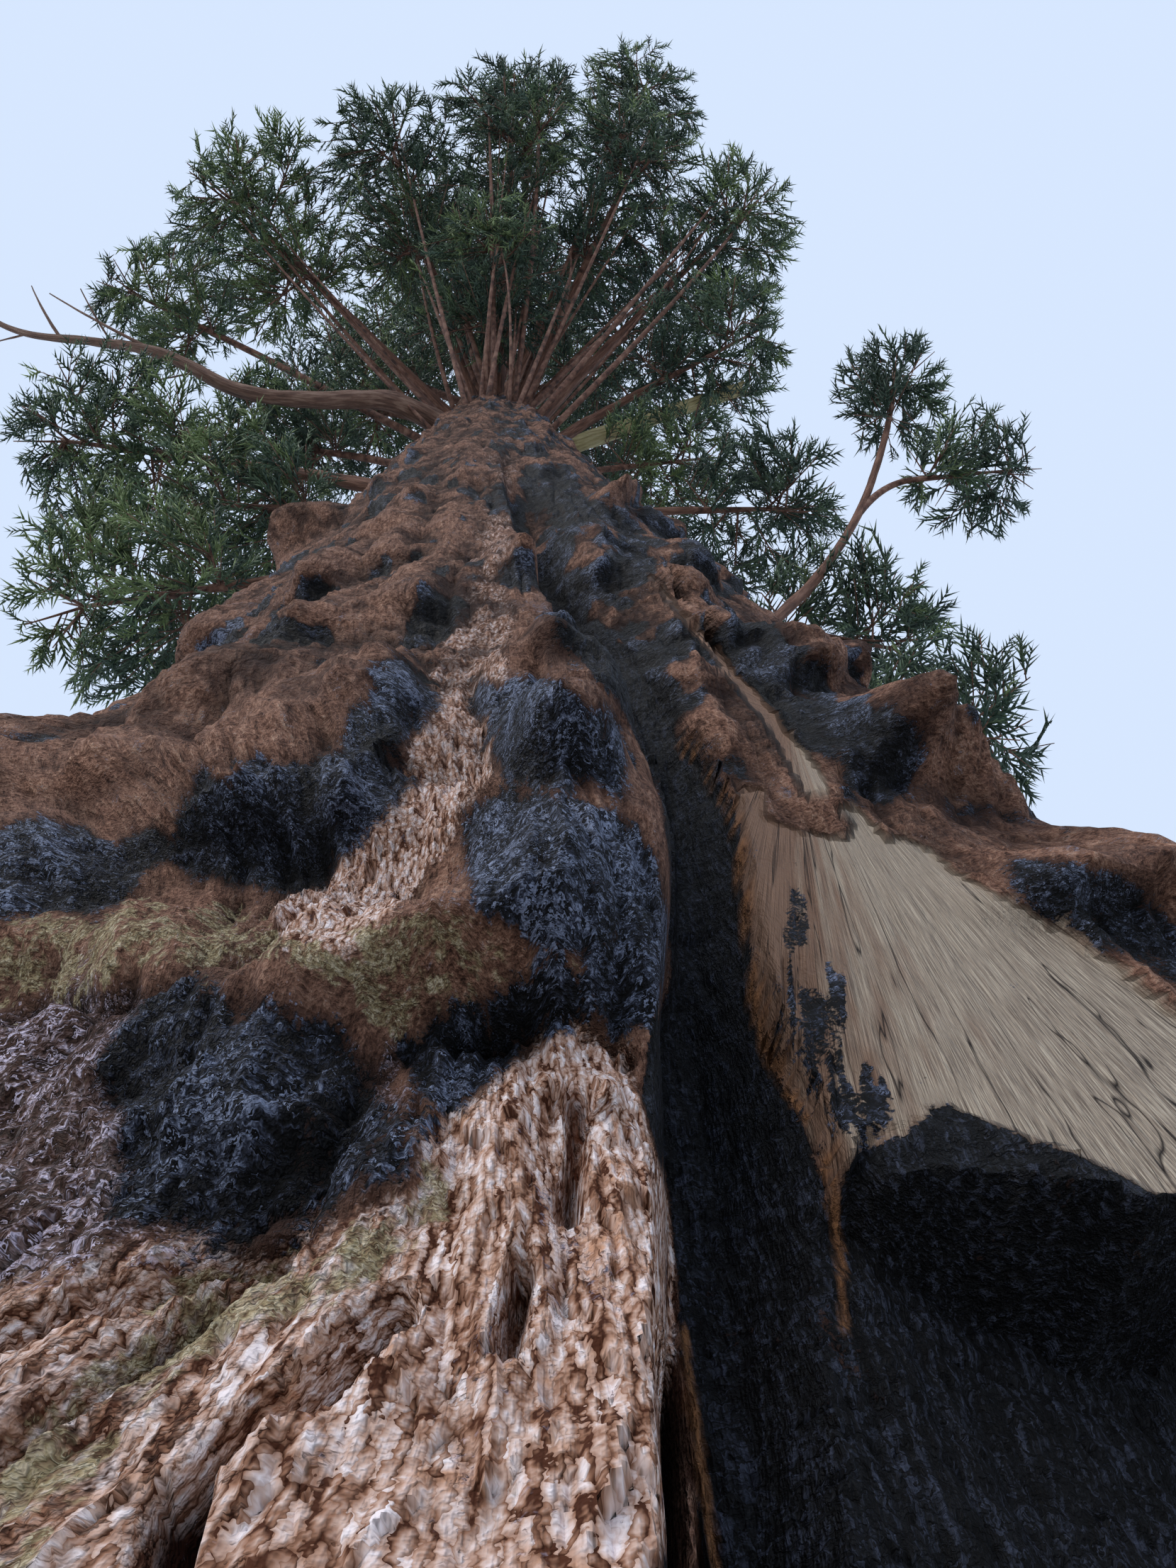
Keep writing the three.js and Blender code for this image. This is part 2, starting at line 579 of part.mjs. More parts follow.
const topFoot = new THREE.Vector3(0, 0, TRUNK_TOP + GAP);
const topEnd = topMass.middle.clone().addScaledVector(topMass.axis, topMass.size * STEM_REACH);
const topStem = limb(straight(topFoot, topEnd), [90, 35], STEM_SIDES, 1);

const foliage = [...boughMasses, ...trunkMasses, { mass: sideMass, stem: sideStem, cutBy: sideLimb }, { mass: topMass, stem: topStem }];
const masses = foliage.map(({ mass }) => mass);
const bareLimbs = [trunk, deadInner, deadOuter, stub, ...boughs.map(({ solid }) => solid)];
for (const { mass, stem, cutBy } of foliage) {
  const others = [...bareLimbs, ...foliage.filter((f) => f.mass !== mass).map((f) => f.stem)];
  let whole = stem;
  for (const piece of massPieces(mass, masses, others)) whole = whole.add(piece);
  whole = whole.asOriginal().simplify(SIMPLIFY);
  addNode(`foliage_${mass.name}`, largestBody(cutBy ? whole.subtract(cutBy) : whole), COLOURS.foliage);
}

export default group;
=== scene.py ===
# %% [markdown]
# # A giant sequoia seen from its foot
# The tree is scaled evenly to 40 m. Its trunk is over three metres thick, so the bark beside the camera
# shows every flake while the crown is twenty metres away. The solids of the frame give the places and the
# sizes, and this lesson dresses them: a trunk with furrows, burnt hollows and bare wood, boughs, and
# foliage that is grown twig by twig.

# %% Load the frame
import math

import bpy
import numpy as np
from mathutils import Euler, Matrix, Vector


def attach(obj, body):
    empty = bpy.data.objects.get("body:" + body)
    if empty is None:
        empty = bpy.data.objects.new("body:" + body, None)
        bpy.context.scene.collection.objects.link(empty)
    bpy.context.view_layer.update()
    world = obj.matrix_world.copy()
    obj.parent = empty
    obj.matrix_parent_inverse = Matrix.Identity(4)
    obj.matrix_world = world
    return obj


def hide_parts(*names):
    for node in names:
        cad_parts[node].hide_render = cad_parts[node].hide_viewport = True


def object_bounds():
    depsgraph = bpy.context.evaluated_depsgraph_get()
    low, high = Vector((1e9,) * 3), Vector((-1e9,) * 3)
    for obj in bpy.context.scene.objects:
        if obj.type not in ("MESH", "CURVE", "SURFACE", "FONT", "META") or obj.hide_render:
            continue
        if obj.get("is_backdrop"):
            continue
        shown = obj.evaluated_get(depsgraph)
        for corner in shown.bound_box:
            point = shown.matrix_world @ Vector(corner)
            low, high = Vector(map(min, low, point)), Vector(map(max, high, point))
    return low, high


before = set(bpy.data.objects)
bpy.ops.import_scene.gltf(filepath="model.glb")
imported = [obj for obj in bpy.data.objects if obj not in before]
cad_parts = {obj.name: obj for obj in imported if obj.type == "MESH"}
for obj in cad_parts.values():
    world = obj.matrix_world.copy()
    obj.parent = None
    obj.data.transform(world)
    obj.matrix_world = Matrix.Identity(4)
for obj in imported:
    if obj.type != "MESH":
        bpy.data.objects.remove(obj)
cad_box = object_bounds()
scene = bpy.context.scene
bpy.ops.object.select_all(action="DESELECT")
print(len(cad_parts), "solids, box", cad_box)

# %% [markdown]
# ## Camera, light and floor
# The camera stands at the foot of the tree, a little above knee height and half a metre from the bark, and
# looks up steeply with a slight roll. A wide lens takes in everything from the bark beside it to the top.
# The light is one even pale sky and one very large soft lamp, because on so rough a surface a small lamp
# would hide the shapes.

# %% Camera
CAMERA_PLACE = np.array([0.0, -2.2, 0.9])
CAMERA_TURN = Euler([math.radians(angle) for angle in (158.210, 4.523, 0.059)])
CAMERA_AXES = np.array(CAMERA_TURN.to_matrix())
IMAGE = (1659, 2212)
FOCAL = 1661.0  # pixels of the image

bpy.ops.object.camera_add(location=CAMERA_PLACE, rotation=CAMERA_TURN)
camera = bpy.context.object
camera.name = "camera"
camera.data.sensor_width = 36
camera.data.lens = FOCAL / IMAGE[1] * 36
camera.data.clip_start = 0.02
camera.data.clip_end = 500
scene.camera = camera
print("lens", round(camera.data.lens, 2), "mm")

# %% Light and floor
world = bpy.data.worlds.new("pale_sky")
world.use_nodes = True
world.node_tree.nodes["Background"].inputs["Color"].default_value = (0.68, 0.80, 1.0, 1)
world.node_tree.nodes["Background"].inputs["Strength"].default_value = 1.0
scene.world = world
scene.view_settings.view_transform = "Standard"

bpy.ops.object.light_add(type="SUN", rotation=(math.radians(48), math.radians(-22), math.radians(-20)))
lamp = bpy.context.object
lamp.data.energy = 2.0
lamp.data.angle = math.radians(50)
lamp.data.color = (1.0, 0.94, 0.86)

bpy.ops.mesh.primitive_plane_add(size=300, location=(0, 0, 0))
floor = bpy.context.object
floor.name = "floor"
floor_finish = bpy.data.materials.new("pale_floor")
floor_finish.use_nodes = True
floor_finish.node_tree.nodes["Principled BSDF"].inputs["Base Color"].default_value = (0.62, 0.61, 0.58, 1)
floor.data.materials.append(floor_finish)
floor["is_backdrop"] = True
print("floor and light are set")

# %% [markdown]
# ## Numbers that look grown
# Bark and twigs need randomness that is the same on every run. A hash of whole numbers gives each point of
# a lattice its own value, and blending between the points gives smooth noise. All of it works on whole
# arrays at once.

# %% Seeded noise
def hashed(x, y, z, seed=0):
    mixed = (x * 374761393 + y * 668265263 + z * 1103515245 + seed * 362437) & 0xFFFFFFFF
    mixed = ((mixed ^ (mixed >> 13)) * 1274126177) & 0xFFFFFFFF
    return ((mixed ^ (mixed >> 16)) & 0xFFFFFF) / 0xFFFFFF


def noise(x, y, z, seed=0):
    x, y, z = np.broadcast_arrays(x, y, z)
    cells = [np.floor(c).astype(np.int64) for c in (x, y, z)]
    blend = [(c - cell) for c, cell in zip((x, y, z), cells)]
    blend = [t * t * (3 - 2 * t) for t in blend]
    total = 0.0
    for corner in range(8):
        step = [corner & 1, corner >> 1 & 1, corner >> 2]
        weight = 1.0
        for t, s in zip(blend, step):
            weight = weight * (t if s else 1 - t)
        total = total + weight * hashed(cells[0] + step[0], cells[1] + step[1], cells[2] + step[2], seed)
    return total


def waves(at, across, up, seed):
    """Noise at the points (x, y, z), with so many waves to a metre across and up."""
    x, y, z = at
    return noise(x * across, y * across, z * up, seed)


def smooth(low, high, x):
    t = np.clip((x - low) / (high - low), 0, 1)
    return t * t * (3 - 2 * t)


def hump(x):
    return np.exp(-x * x)


print("noise at the origin", round(float(noise(0.2, 0.3, 0.4)), 3))

# %% [markdown]
# ## The trunk's plain shape
# The solid trunk is a rule: a tapering column, a root flare that the fire took from the front, buttresses,
# a burnt groove and a few large lumps. The same rule is written again here in metres, because the fine mesh
# has to lie on it. Azimuths are degrees from the front, growing towards the right.

# %% The trunk's rule
TREE_HEIGHT, TRUNK_TOP = 40.0, 37.1
COLUMN_RADIUS, COLUMN_TAPER = 1.57, 0.62
TOP_SLENDER = 0.6  # how much thinner than that the last quarter runs out
FLARES = [(0.55, 0.6), (0.30, 4.0)]  # how far each stands out at the ground, and the height it dies away over
BURNT_WIDTH, BURNT_LOSS = 32, 0.7  # the fire took most of the flare on the front
BUTTRESSES = [(5, 0.085, 20), (8, 0.050, 75), (13, 0.026, 10)]  # count, size, turn
BUTTRESS_HEIGHT, FLUTE_SHARE = 2.6, 0.3
# heights, and the azimuths of the groove at them
GROOVE_LINE = ([0, 1.3, 1.65, 2.25, 2.85, 3.8, 5.9, 9.5], [2.6, 3.3, 4.8, 7, 8, 6.5, 4.2, 3.2])
GROOVE_DEPTH, GROOVE_WIDTH, GROOVE_FADES = 0.19, 6.5, (4.5, 9.5)
# azimuth, height, half width in degrees, half height, metres outwards
LUMPS = [
    (3, 2.85, 3.6, 0.30, 0.13), (2.6, 2.2, 3.4, 0.26, 0.14), (-9.5, 1.8, 5, 0.20, 0.06),
    (-11, 2.5, 5, 0.33, 0.07), (-19, 3.15, 6, 0.42, 0.11), (-33, 2.7, 11, 0.75, 0.15),
    (-50, 8.3, 9, 0.48, 0.30), (28, 3.7, 3.5, 0.26, 0.12), (30, 3.0, 3.5, 0.23, 0.13),
    (36, 2.4, 4.5, 0.24, 0.10), (75, 3.3, 12, 0.70, 0.16), (150, 2.6, 14, 0.90, 0.21),
    (-120, 3.6, 13, 0.80, 0.19),
]
HANG = 2.4  # how much steeper a lump is below its middle than above
HOLLOW_AZIMUTH, BACK_WALL = 22, 1.44
HOLLOW_OUTLINE = [
    (-0.56, -0.4), (-0.56, 1.25), (-0.50, 1.40), (-0.40, 1.48), (-0.385, 1.64), (-0.30, 1.69), (-0.20, 1.655),
    (-0.09, 1.625), (0.04, 1.66), (0.20, 1.85), (0.33, 1.96), (0.45, 1.70), (0.54, 0.90), (0.60, -0.4),
]


def around(azimuth, middle=0.0):
    return (azimuth - middle + 180) % 360 - 180


def column_radius(z):
    share = np.clip(1 - z / TREE_HEIGHT, 0, 1)
    return COLUMN_RADIUS * share**COLUMN_TAPER * (1 - TOP_SLENDER * smooth(0.72, 1, z / TREE_HEIGHT))


def groove_line(z):
    return np.interp(z, *GROOVE_LINE)


def plain_radius(azimuth, z):
    left_over = 1 - BURNT_LOSS * hump(around(azimuth) / BURNT_WIDTH)
    flare = sum(out * np.exp(-z / height) for out, height in FLARES) * left_over
    flutes = sum(size * np.cos(np.radians(count * azimuth + turn)) for count, size, turn in BUTTRESSES)
    flutes = flutes * (FLUTE_SHARE + (1 - FLUTE_SHARE) * np.exp(-z / BUTTRESS_HEIGHT)) * left_over
    lumps = 0.0
    for middle, height, width, tall, out in LUMPS:
        up = (z - height) / tall
        lumps = lumps + out * hump(around(azimuth, middle) / width) * hump(np.where(up > 0, up, HANG * up))
    return column_radius(z) + flare + flutes * np.minimum(1, column_radius(z)) + lumps


def place(azimuth, reach, z):
    turn = np.radians(azimuth)
    return np.stack(np.broadcast_arrays(reach * np.sin(turn), -reach * np.cos(turn), z), axis=-1)


print("radius at the front, 1.5 m up:", round(float(plain_radius(0.0, 1.5)), 3))

# %% [markdown]
# ## Where each finish lies
# Bark, char, moss and bare wood have borders that only a picture shows. They are easiest to write down as
# outlines in the image, so each point of the trunk is projected through the camera once, and its distance
# to the outlines gives its share of each finish. The shares are then stored on the mesh and stay there from
# any side.

# %% Distances in the image
GRAIN_CENTRE = (1110, 1010)  # the spot that the grain of the bare wood fans out from


def seen_at(points):
    """Where the camera's image shows points, in pixels across and down."""
    ahead = (points - CAMERA_PLACE) @ CAMERA_AXES
    scale = FOCAL / np.maximum(-ahead[..., 2], 0.05)
    return np.stack([IMAGE[0] / 2 + scale * ahead[..., 0], IMAGE[1] / 2 - scale * ahead[..., 1]], -1)


def line_distance(spots, line):
    best = np.full(spots.shape[:-1], 1e9)
    for start, end in zip(np.array(line[:-1], float), np.array(line[1:], float)):
        along = np.clip((spots - start) @ (end - start) / max((end - start) @ (end - start), 1e-9), 0, 1)
        best = np.minimum(best, np.linalg.norm(spots - start - along[..., None] * (end - start), axis=-1))
    return best


def outline_depth(spots, outline):
    """Distance to an outline, positive inside it."""
    closed = list(outline) + [outline[0]]
    inside = np.zeros(spots.shape[:-1], bool)
    x, y = spots[..., 0], spots[..., 1]
    for (x0, y0), (x1, y1) in zip(closed[:-1], closed[1:]):
        if y0 != y1:
            crosses = (y0 > y) != (y1 > y)
            inside ^= crosses & (x < x0 + (y - y0) * (x1 - x0) / (y1 - y0))
    return np.where(inside, 1, -1) * line_distance(spots, closed)


def within(spot, outline, soft, shift):
    """1 inside an outline and 0 outside it, over a soft border that shift moves about."""
    return smooth(-soft, soft, outline_depth(spot, outline) + shift)


def beside(spot, line, inner, outer, shift):
    """1 up to the inner distance from a line and 0 from the outer one on."""
    return smooth(outer, inner, line_distance(spot, line) + shift)


def grain_fan(spot):
    """The angle in degrees round the middle of the grain, and the distance from it in pixels."""
    x, y = spot[..., 0] - GRAIN_CENTRE[0], spot[..., 1] - GRAIN_CENTRE[1]
    return np.degrees(np.arctan2(x, y)), np.hypot(x, y)


print("the camera sees the groove's foot at", seen_at(place(3.0, 1.6, 1.5)).round())

# %% Outlines of the finishes
CHAR_OUTLINES = {
    "big_oval": [(200, 1405), (290, 1395), (375, 1400), (465, 1440), (520, 1515), (575, 1580), (553, 1637),
                 (465, 1692), (365, 1736), (254, 1770), (133, 1736), (166, 1660), (144, 1548), (166, 1460)],
    "under_moss": [(575, 1482), (664, 1427), (763, 1371), (830, 1382), (830, 1427), (774, 1449), (708, 1493),
                   (641, 1548), (586, 1548)],
    "near_lump": [(664, 1150), (708, 1123), (796, 1117), (874, 1156), (918, 1228), (940, 1305), (940, 1371),
                  (907, 1438), (863, 1449), (835, 1382), (818, 1338), (752, 1316), (686, 1272), (664, 1217)],
    "far_lump": [(680, 973), (730, 957), (796, 962), (863, 1006), (885, 1062), (874, 1117), (807, 1117),
                 (730, 1106), (686, 1062)],
    "left_high": [(525, 940), (575, 935), (608, 973), (597, 1018), (553, 1084), (487, 1106), (487, 1062),
                  (520, 995)],
    "left_middle": [(288, 1106), (365, 1073), (465, 1051), (575, 1062), (586, 1095), (531, 1150), (487, 1206),
                    (420, 1261), (332, 1250), (254, 1217), (177, 1228), (177, 1183), (243, 1172)],
    "left_edge": [(-60, 1172), (66, 1163), (122, 1172), (166, 1206), (188, 1250), (122, 1294), (55, 1272),
                  (-60, 1305)],
    "groove": [(780, 885), (874, 995), (929, 1106), (946, 1217), (946, 1382), (918, 1471), (907, 1548),
               (940, 1659), (955, 1770), (960, 1880), (975, 1991), (985, 2101), (990, 2212), (990, 2700),
               (2100, 2700), (2100, 1880), (1659, 1692), (1593, 1659), (1526, 1626), (1438, 1593),
               (1327, 1554), (1272, 1593), (1217, 1615), (1200, 1637), (1194, 1703), (1189, 1770),
               (1172, 1770), (1161, 1659), (1117, 1548), (1084, 1482), (1062, 1427), (1056, 1327),
               (1045, 1217), (1029, 1150), (1001, 1095), (962, 1051), (940, 995), (885, 918), (840, 874)],
    "right_edge": [(1438, 1228), (1504, 1222), (1580, 1240), (1659, 1294), (1800, 1380), (1800, 1450),
                   (1637, 1371), (1560, 1338), (1471, 1294)],
    "hollow_knot": [(1195, 1018), (1240, 1015), (1294, 1040), (1290, 1100), (1250, 1128), (1195, 1117),
                    (1184, 1062)],
    "small_knot": [(1090, 935), (1172, 930), (1165, 985), (1100, 985)],
    "top_blob": [(752, 680), (796, 677), (840, 708), (890, 720), (846, 741), (796, 741), (752, 719)],
}
WOOD_OUTLINE = [
    (1040, 1106), (1106, 1117), (1172, 1139), (1206, 1139), (1250, 1178), (1305, 1194), (1360, 1239),
    (1438, 1277), (1504, 1316), (1582, 1366), (1659, 1421), (1760, 1490), (2000, 1660), (2000, 1840),
    (1659, 1700), (1593, 1665), (1526, 1632), (1438, 1600), (1327, 1560), (1272, 1600), (1206, 1626),
    (1194, 1665), (1189, 1770), (1180, 1800), (1172, 1770), (1167, 1659), (1117, 1548), (1078, 1460),
    (1056, 1382), (1051, 1239), (1040, 1150),
]
WOOD_STRIP = [(1150, 1110), (1085, 1010), (1040, 960), (990, 900), (914, 810)]
BARK_FLAP = [(1084, 1090), (1150, 1106), (1200, 1161), (1194, 1183), (1128, 1172), (1078, 1150)]
PALE_COLUMN = [
    (320, 2212), (365, 2046), (442, 1968), (531, 1814), (619, 1659), (686, 1548), (752, 1449), (774, 1427),
    (874, 1493), (907, 1593), (940, 1681), (951, 1770), (946, 1880), (935, 1991), (924, 2101), (912, 2212),
    (905, 2700), (100, 2700),
]
PALE_STRIP = [(715, 560), (705, 720), (686, 846), (658, 957), (641, 1062), (592, 1150), (520, 1228),
              (459, 1283)]
MOSS_BULGE = [
    (-60, 1250), (221, 1250), (365, 1283), (465, 1305), (619, 1283), (774, 1338), (830, 1371), (824, 1399),
    (774, 1382), (686, 1394), (575, 1471), (487, 1427), (365, 1382), (221, 1394), (-60, 1471),
]
MOSS_STREAK = [(-60, 2240), (0, 2160), (250, 1880), (480, 1790), (600, 1680)]
EMBER_LINES = [
    [(962, 1051), (1001, 1095), (1040, 1150), (1045, 1230), (1055, 1320), (1065, 1420), (1080, 1475),
     (1110, 1540), (1155, 1600), (1172, 1680), (1186, 1780), (1192, 1870)],
    [(965, 1880), (975, 1960), (990, 2080), (1010, 2212), (1020, 2400)],
]
FLAKY_FOOT = [(-80, 1500), (150, 1470), (600, 1560), (700, 1560), (600, 1900), (420, 2212), (300, 2700),
              (-80, 2700)]
LAYERED_LEFT = [(-80, 1400), (200, 1400), (560, 1500), (560, 1640), (380, 1740), (-80, 1860)]
# how far the noise moves a border, and how soft it is, in pixels of the image
CHAR_BORDERS = {"groove": (0.12, 5), "big_oval": (1.6, 55)}
USUAL_BORDER = (0.9, 26)
# smudges of char on the bare wood: across, down, half width, half height
SMUDGES = [(1150, 1450, 60, 110), (1215, 1560, 60, 60), (1130, 1310, 24, 50)]
print(sum(map(len, CHAR_OUTLINES.values())), "corners outline the char")

# %% Swells and creases
# across, down, half width, half height, and metres outwards
SWELLS = [
    (110, 1330, 170, 80, 0.05), (640, 1390, 210, 75, 0.11), (370, 1570, 210, 150, 0.05),
    (800, 1290, 125, 165, 0.14), (785, 1050, 95, 85, 0.10), (843, 1572, 30, 26, 0.03),
    (770, 1543, 22, 25, 0.02), (1235, 1050, 62, 50, 0.13), (1130, 950, 45, 26, 0.09),
    (1520, 1260, 110, 45, 0.11), (400, 1170, 150, 60, 0.07), (530, 1010, 70, 60, 0.07),
    (60, 1230, 110, 55, 0.07), (180, 1100, 190, 60, 0.06), (1140, 1130, 60, 34, 0.03),
    (865, 715, 25, 10, 0.16),
]
SWELL_HANG = 1.7  # how much steeper a swell is below its middle, so that it hangs over
# a line, its half width, and metres inwards
CREASES = [
    ([(60, 2300), (100, 2212), (330, 2010), (450, 1950), (560, 1840)], 40, 0.06),
    ([(-60, 1900), (120, 1830), (300, 1760), (420, 1740)], 26, 0.04),
    ([(-60, 2060), (100, 1960), (260, 1830), (400, 1770)], 22, 0.03),
    ([(940, 1900), (950, 2000), (955, 2212), (955, 2500)], 22, 0.06),
    ([(60, 1420), (160, 1400), (300, 1340), (420, 1320)], 20, 0.03),
    ([(640, 1480), (740, 1440), (820, 1450), (880, 1480)], 24, 0.05),
    ([(560, 1110), (640, 1130), (700, 1140)], 18, 0.03),
]
# the slits are dug in, and the trunk's material paints them dark as painted shade
SLIT_HOLLOWS = [[(815, 1560), (812, 1640), (800, 1700)], [(735, 1790), (722, 1850), (712, 1900)]]


def blot(spot, across, down, wide, tall, hang=1.0):
    """A round spot in the image that fades outwards, and by hang sooner below its middle."""
    x, y = spot[..., 0] - across, spot[..., 1] - down
    return hump(x / wide) * hump(np.where(y > 0, hang, 1.0) * y / tall)


print(len(SWELLS), "swells and", len(CREASES), "creases")

# %% [markdown]
# ## Bark relief
# Sequoia bark is soft and fibrous: broad cords run up the trunk with sharp furrows between them, and finer
# strips lie on the cords. Noise stretched several times along the trunk gives the cords, and folding it at
# its middle value gives the sharp furrows. Old fire wounds hang over in hoods, so their relief also sags
# downwards.

# %% Furrows, flakes and hoods
def furrow(at, across, up, seed):
    """Noise folded at its middle value: round cords with sharp furrows between them."""
    return np.abs(2 * waves(at, across, up, seed) - 1) ** 0.7 - 0.45


def lumpy(at, across, up, seed):
    return waves(at, across, up, seed) - 0.5


def flakes(x, y, seed):
    """Loose plates, each at its own height and tilt, and the distance to the gap round each."""
    cell_x, cell_y = np.floor(x).astype(np.int64), np.floor(y).astype(np.int64)
    first, second = np.full(x.shape, 9.0), np.full(x.shape, 9.0)
    height = np.zeros(x.shape)
    for dx in (-1, 0, 1):
        for dy in (-1, 0, 1):
            cx, cy = cell_x + dx, cell_y + dy
            off_x, off_y = x - cx - hashed(cx, cy, 0, seed), y - cy - hashed(cx, cy, 1, seed)
            far = np.hypot(off_x, off_y)
            nearer = far < first
            second = np.where(nearer, first, np.minimum(second, far))
            tilt = off_x * (hashed(cx, cy, 6, seed) - 0.5) - off_y * hashed(cx, cy, 7, seed)
            height = np.where(nearer, hashed(cx, cy, 2, seed) + 1.3 * tilt, height)
            first = np.where(nearer, far, first)
    return height, second - first


HOOD_CELL = 9.0  # degrees round the trunk in which one hood lies
HOOD_OUT = 0.135  # metres that the largest stands out


def hoods(azimuth, z):
    """Brows that hang over, longer above than below and larger higher up, and the hollows under them."""
    across, up = azimuth / HOOD_CELL, np.log(0.35 + 0.13 * z) / 0.13
    cell_a, cell_u = np.floor(across).astype(np.int64), np.floor(up).astype(np.int64)
    brow, under = np.zeros(across.shape), np.zeros(across.shape)
    for da in (-1, 0, 1):
        for du in (-1, 0, 1):
            a, u = cell_a + da, cell_u + du
            wrapped = a % round(360 / HOOD_CELL)
            side = (across - a - 0.2 - 0.6 * hashed(wrapped, u, 3, 5)) / 0.42
            rise = up - u - 0.2 - 0.6 * hashed(wrapped, u, 4, 5)
            size = hashed(wrapped, u, 5, 5) ** 1.3 * hump(side)
            brow += size * hump(np.where(rise > 0, rise / 0.60, rise / 0.15))
            under += size * hump((rise + 0.20) / 0.14)
    return brow * smooth(1.7, 2.8, z) * smooth(30, 18, z), under


print("relief is ready")

# %% Shares of the finishes
def finish_shares(spot, at, azimuth, front, depth, brow, under):
    """The share of each finish at points that the image shows at spot."""
    z, down = at[2], spot[..., 1]
    ragged = 46 * lumpy(at, 9, 5, 7) + 30 * lumpy(at, 26, 15, 8) + 16 * lumpy(at, 70, 40, 31)
    char = np.zeros(z.shape)
    for name, outline in CHAR_OUTLINES.items():
        edge, soft = CHAR_BORDERS.get(name, USUAL_BORDER)
        char = np.maximum(char, within(spot, outline, soft, edge * ragged))
    wood = within(spot, WOOD_OUTLINE, 4, 0.10 * ragged) * (1 - within(spot, BARK_FLAP, 4, 0.3 * ragged))
    strip_width = np.interp(down, [810, 1010, 1110], [3, 9, 17])
    wood = np.maximum(wood, beside(spot, WOOD_STRIP, -3, 3, 0.12 * ragged - strip_width))
    strip_width = np.interp(down, [560, 720, 960, 1280], [9, 22, 52, 66])
    strip = beside(spot, PALE_STRIP, -14, 14, 0.6 * ragged - strip_width)
    strip = strip * np.interp(down, [560, 820, 1000], [0.45, 0.6, 1.0])
    flaky = 0.75 * within(spot, FLAKY_FOOT, 60, 1.6 * ragged)
    pale = np.maximum.reduce([within(spot, PALE_COLUMN, 22, 0.9 * ragged), strip, flaky])
    moss = np.maximum(within(spot, MOSS_BULGE, 30, ragged - 5), beside(spot, MOSS_STREAK, 25, 95, ragged))
    ember = np.maximum.reduce([beside(spot, line, 3, 9, 0.12 * ragged) for line in EMBER_LINES])
    shaded_slit = np.maximum.reduce([beside(spot, line, 4, 30, 0.3 * ragged) for line in SLIT_HOLLOWS])
    layers = np.maximum(within(spot, LAYERED_LEFT, 60, ragged),
                        0.8 * within(spot, CHAR_OUTLINES["left_middle"], 20, ragged))
    smudge = np.maximum.reduce([blot(spot, *shape) for shape in SMUDGES])

    # what the image doesn't show, and the streaks of char high up, follow the noise
    patchy = waves(at, 1.7, 0.8, 9) + 0.35 * lumpy(at, 6, 2, 10)
    burnt_side = smooth(-4, 5, azimuth) * smooth(66, 40, azimuth)
    streaks = waves(at, 8, 1.9, 11) + 0.50 * lumpy(at, 22, 7, 12)
    # char gathers under the hoods and thins on their brows: the dark under a brow is partly char and partly
    # painted shade
    streaks = smooth(-0.03, 0.05, streaks - 0.80 + 0.24 * burnt_side - 0.35 * (brow - 0.3) + 0.42 * under)
    streaks = streaks * smooth(2.5, 3.1, z) * smooth(27, 17, z)
    char = np.maximum(front * char, streaks * (1 - 0.75 * front * pale) * (1 - wood))
    char = np.maximum(char, (1 - front) * smooth(0.70, 0.80, patchy) * smooth(9, 4, z))
    sunk = smooth(-0.016, -0.006, depth)
    wood, ember, behind = front * wood * (1 - sunk), front * ember, 0.8 * (1 - front)
    pale = np.maximum(front * pale, behind * smooth(0.62, 0.8, waves(at, 3, 0.7, 13)) * smooth(7, 2, z))
    moss = np.maximum(front * moss, behind * smooth(0.5, 0.75, patchy) * smooth(3.5, 0.5, z))
    inside = front * within(spot, CHAR_OUTLINES["groove"], 5, 0.12 * ragged) * smooth(7, 4, z)
    inside = np.maximum(sunk, inside) * (1 - wood)
    speckle = noise(spot[..., 0] / 9, down / 110, 0 * down, 38)
    smudge = smooth(0.5, 0.62, 0.55 * smudge + 0.5 * speckle) * wood * smooth(0.1, 0.3, smudge)
    char = np.maximum.reduce([char * (1 - wood), inside * (1 - 0.9 * ember), 0.72 * smudge])
    return {"char": char, "wood": wood * (1 - 0.6 * ember), "moss": moss * (1 - 0.8 * char),
            "pale": pale * (1 - char), "ember": ember, "shaded_slit": shaded_slit * front, "inside": inside,
            "layers": layers * front}


print("each finish has its rule")

# %% Fine relief of the finishes
# the finish that it lies on, its kind, its height in metres, its waves to a metre across and up, and its seed
RELIEF = [
    ("cords", furrow, 0.028, 12, 1.9, 15), ("bark", furrow, 0.013, 28, 5, 16),
    ("bark", furrow, 0.009, 60, 12, 17), ("red_bark", lumpy, 0.012, 20, 34, 44),
    ("pale", furrow, 0.008, 42, 5, 49), ("outer_char", lumpy, 0.030, 16, 14, 23),
    ("outer_char", furrow, 0.012, 26, 34, 36), ("outer_char", furrow, 0.007, 60, 85, 37),
    ("inside", furrow, 0.030, 7, 1.2, 21), ("inside", furrow, 0.014, 20, 4, 22),
    ("moss", lumpy, 0.020, 22, 22, 24),
]
# furrows between rows that run round the trunk and waver
ROWS = [("layers", 0.007, 12, 50, 46), ("layers", 0.006, 26, 110, 47), ("inside", 0.010, 11, 16, 48)]
PLATE, CRUMB = (0.017, 0.070), (0.016, 0.026)  # width and height of the pale plates and of the crumbs of char


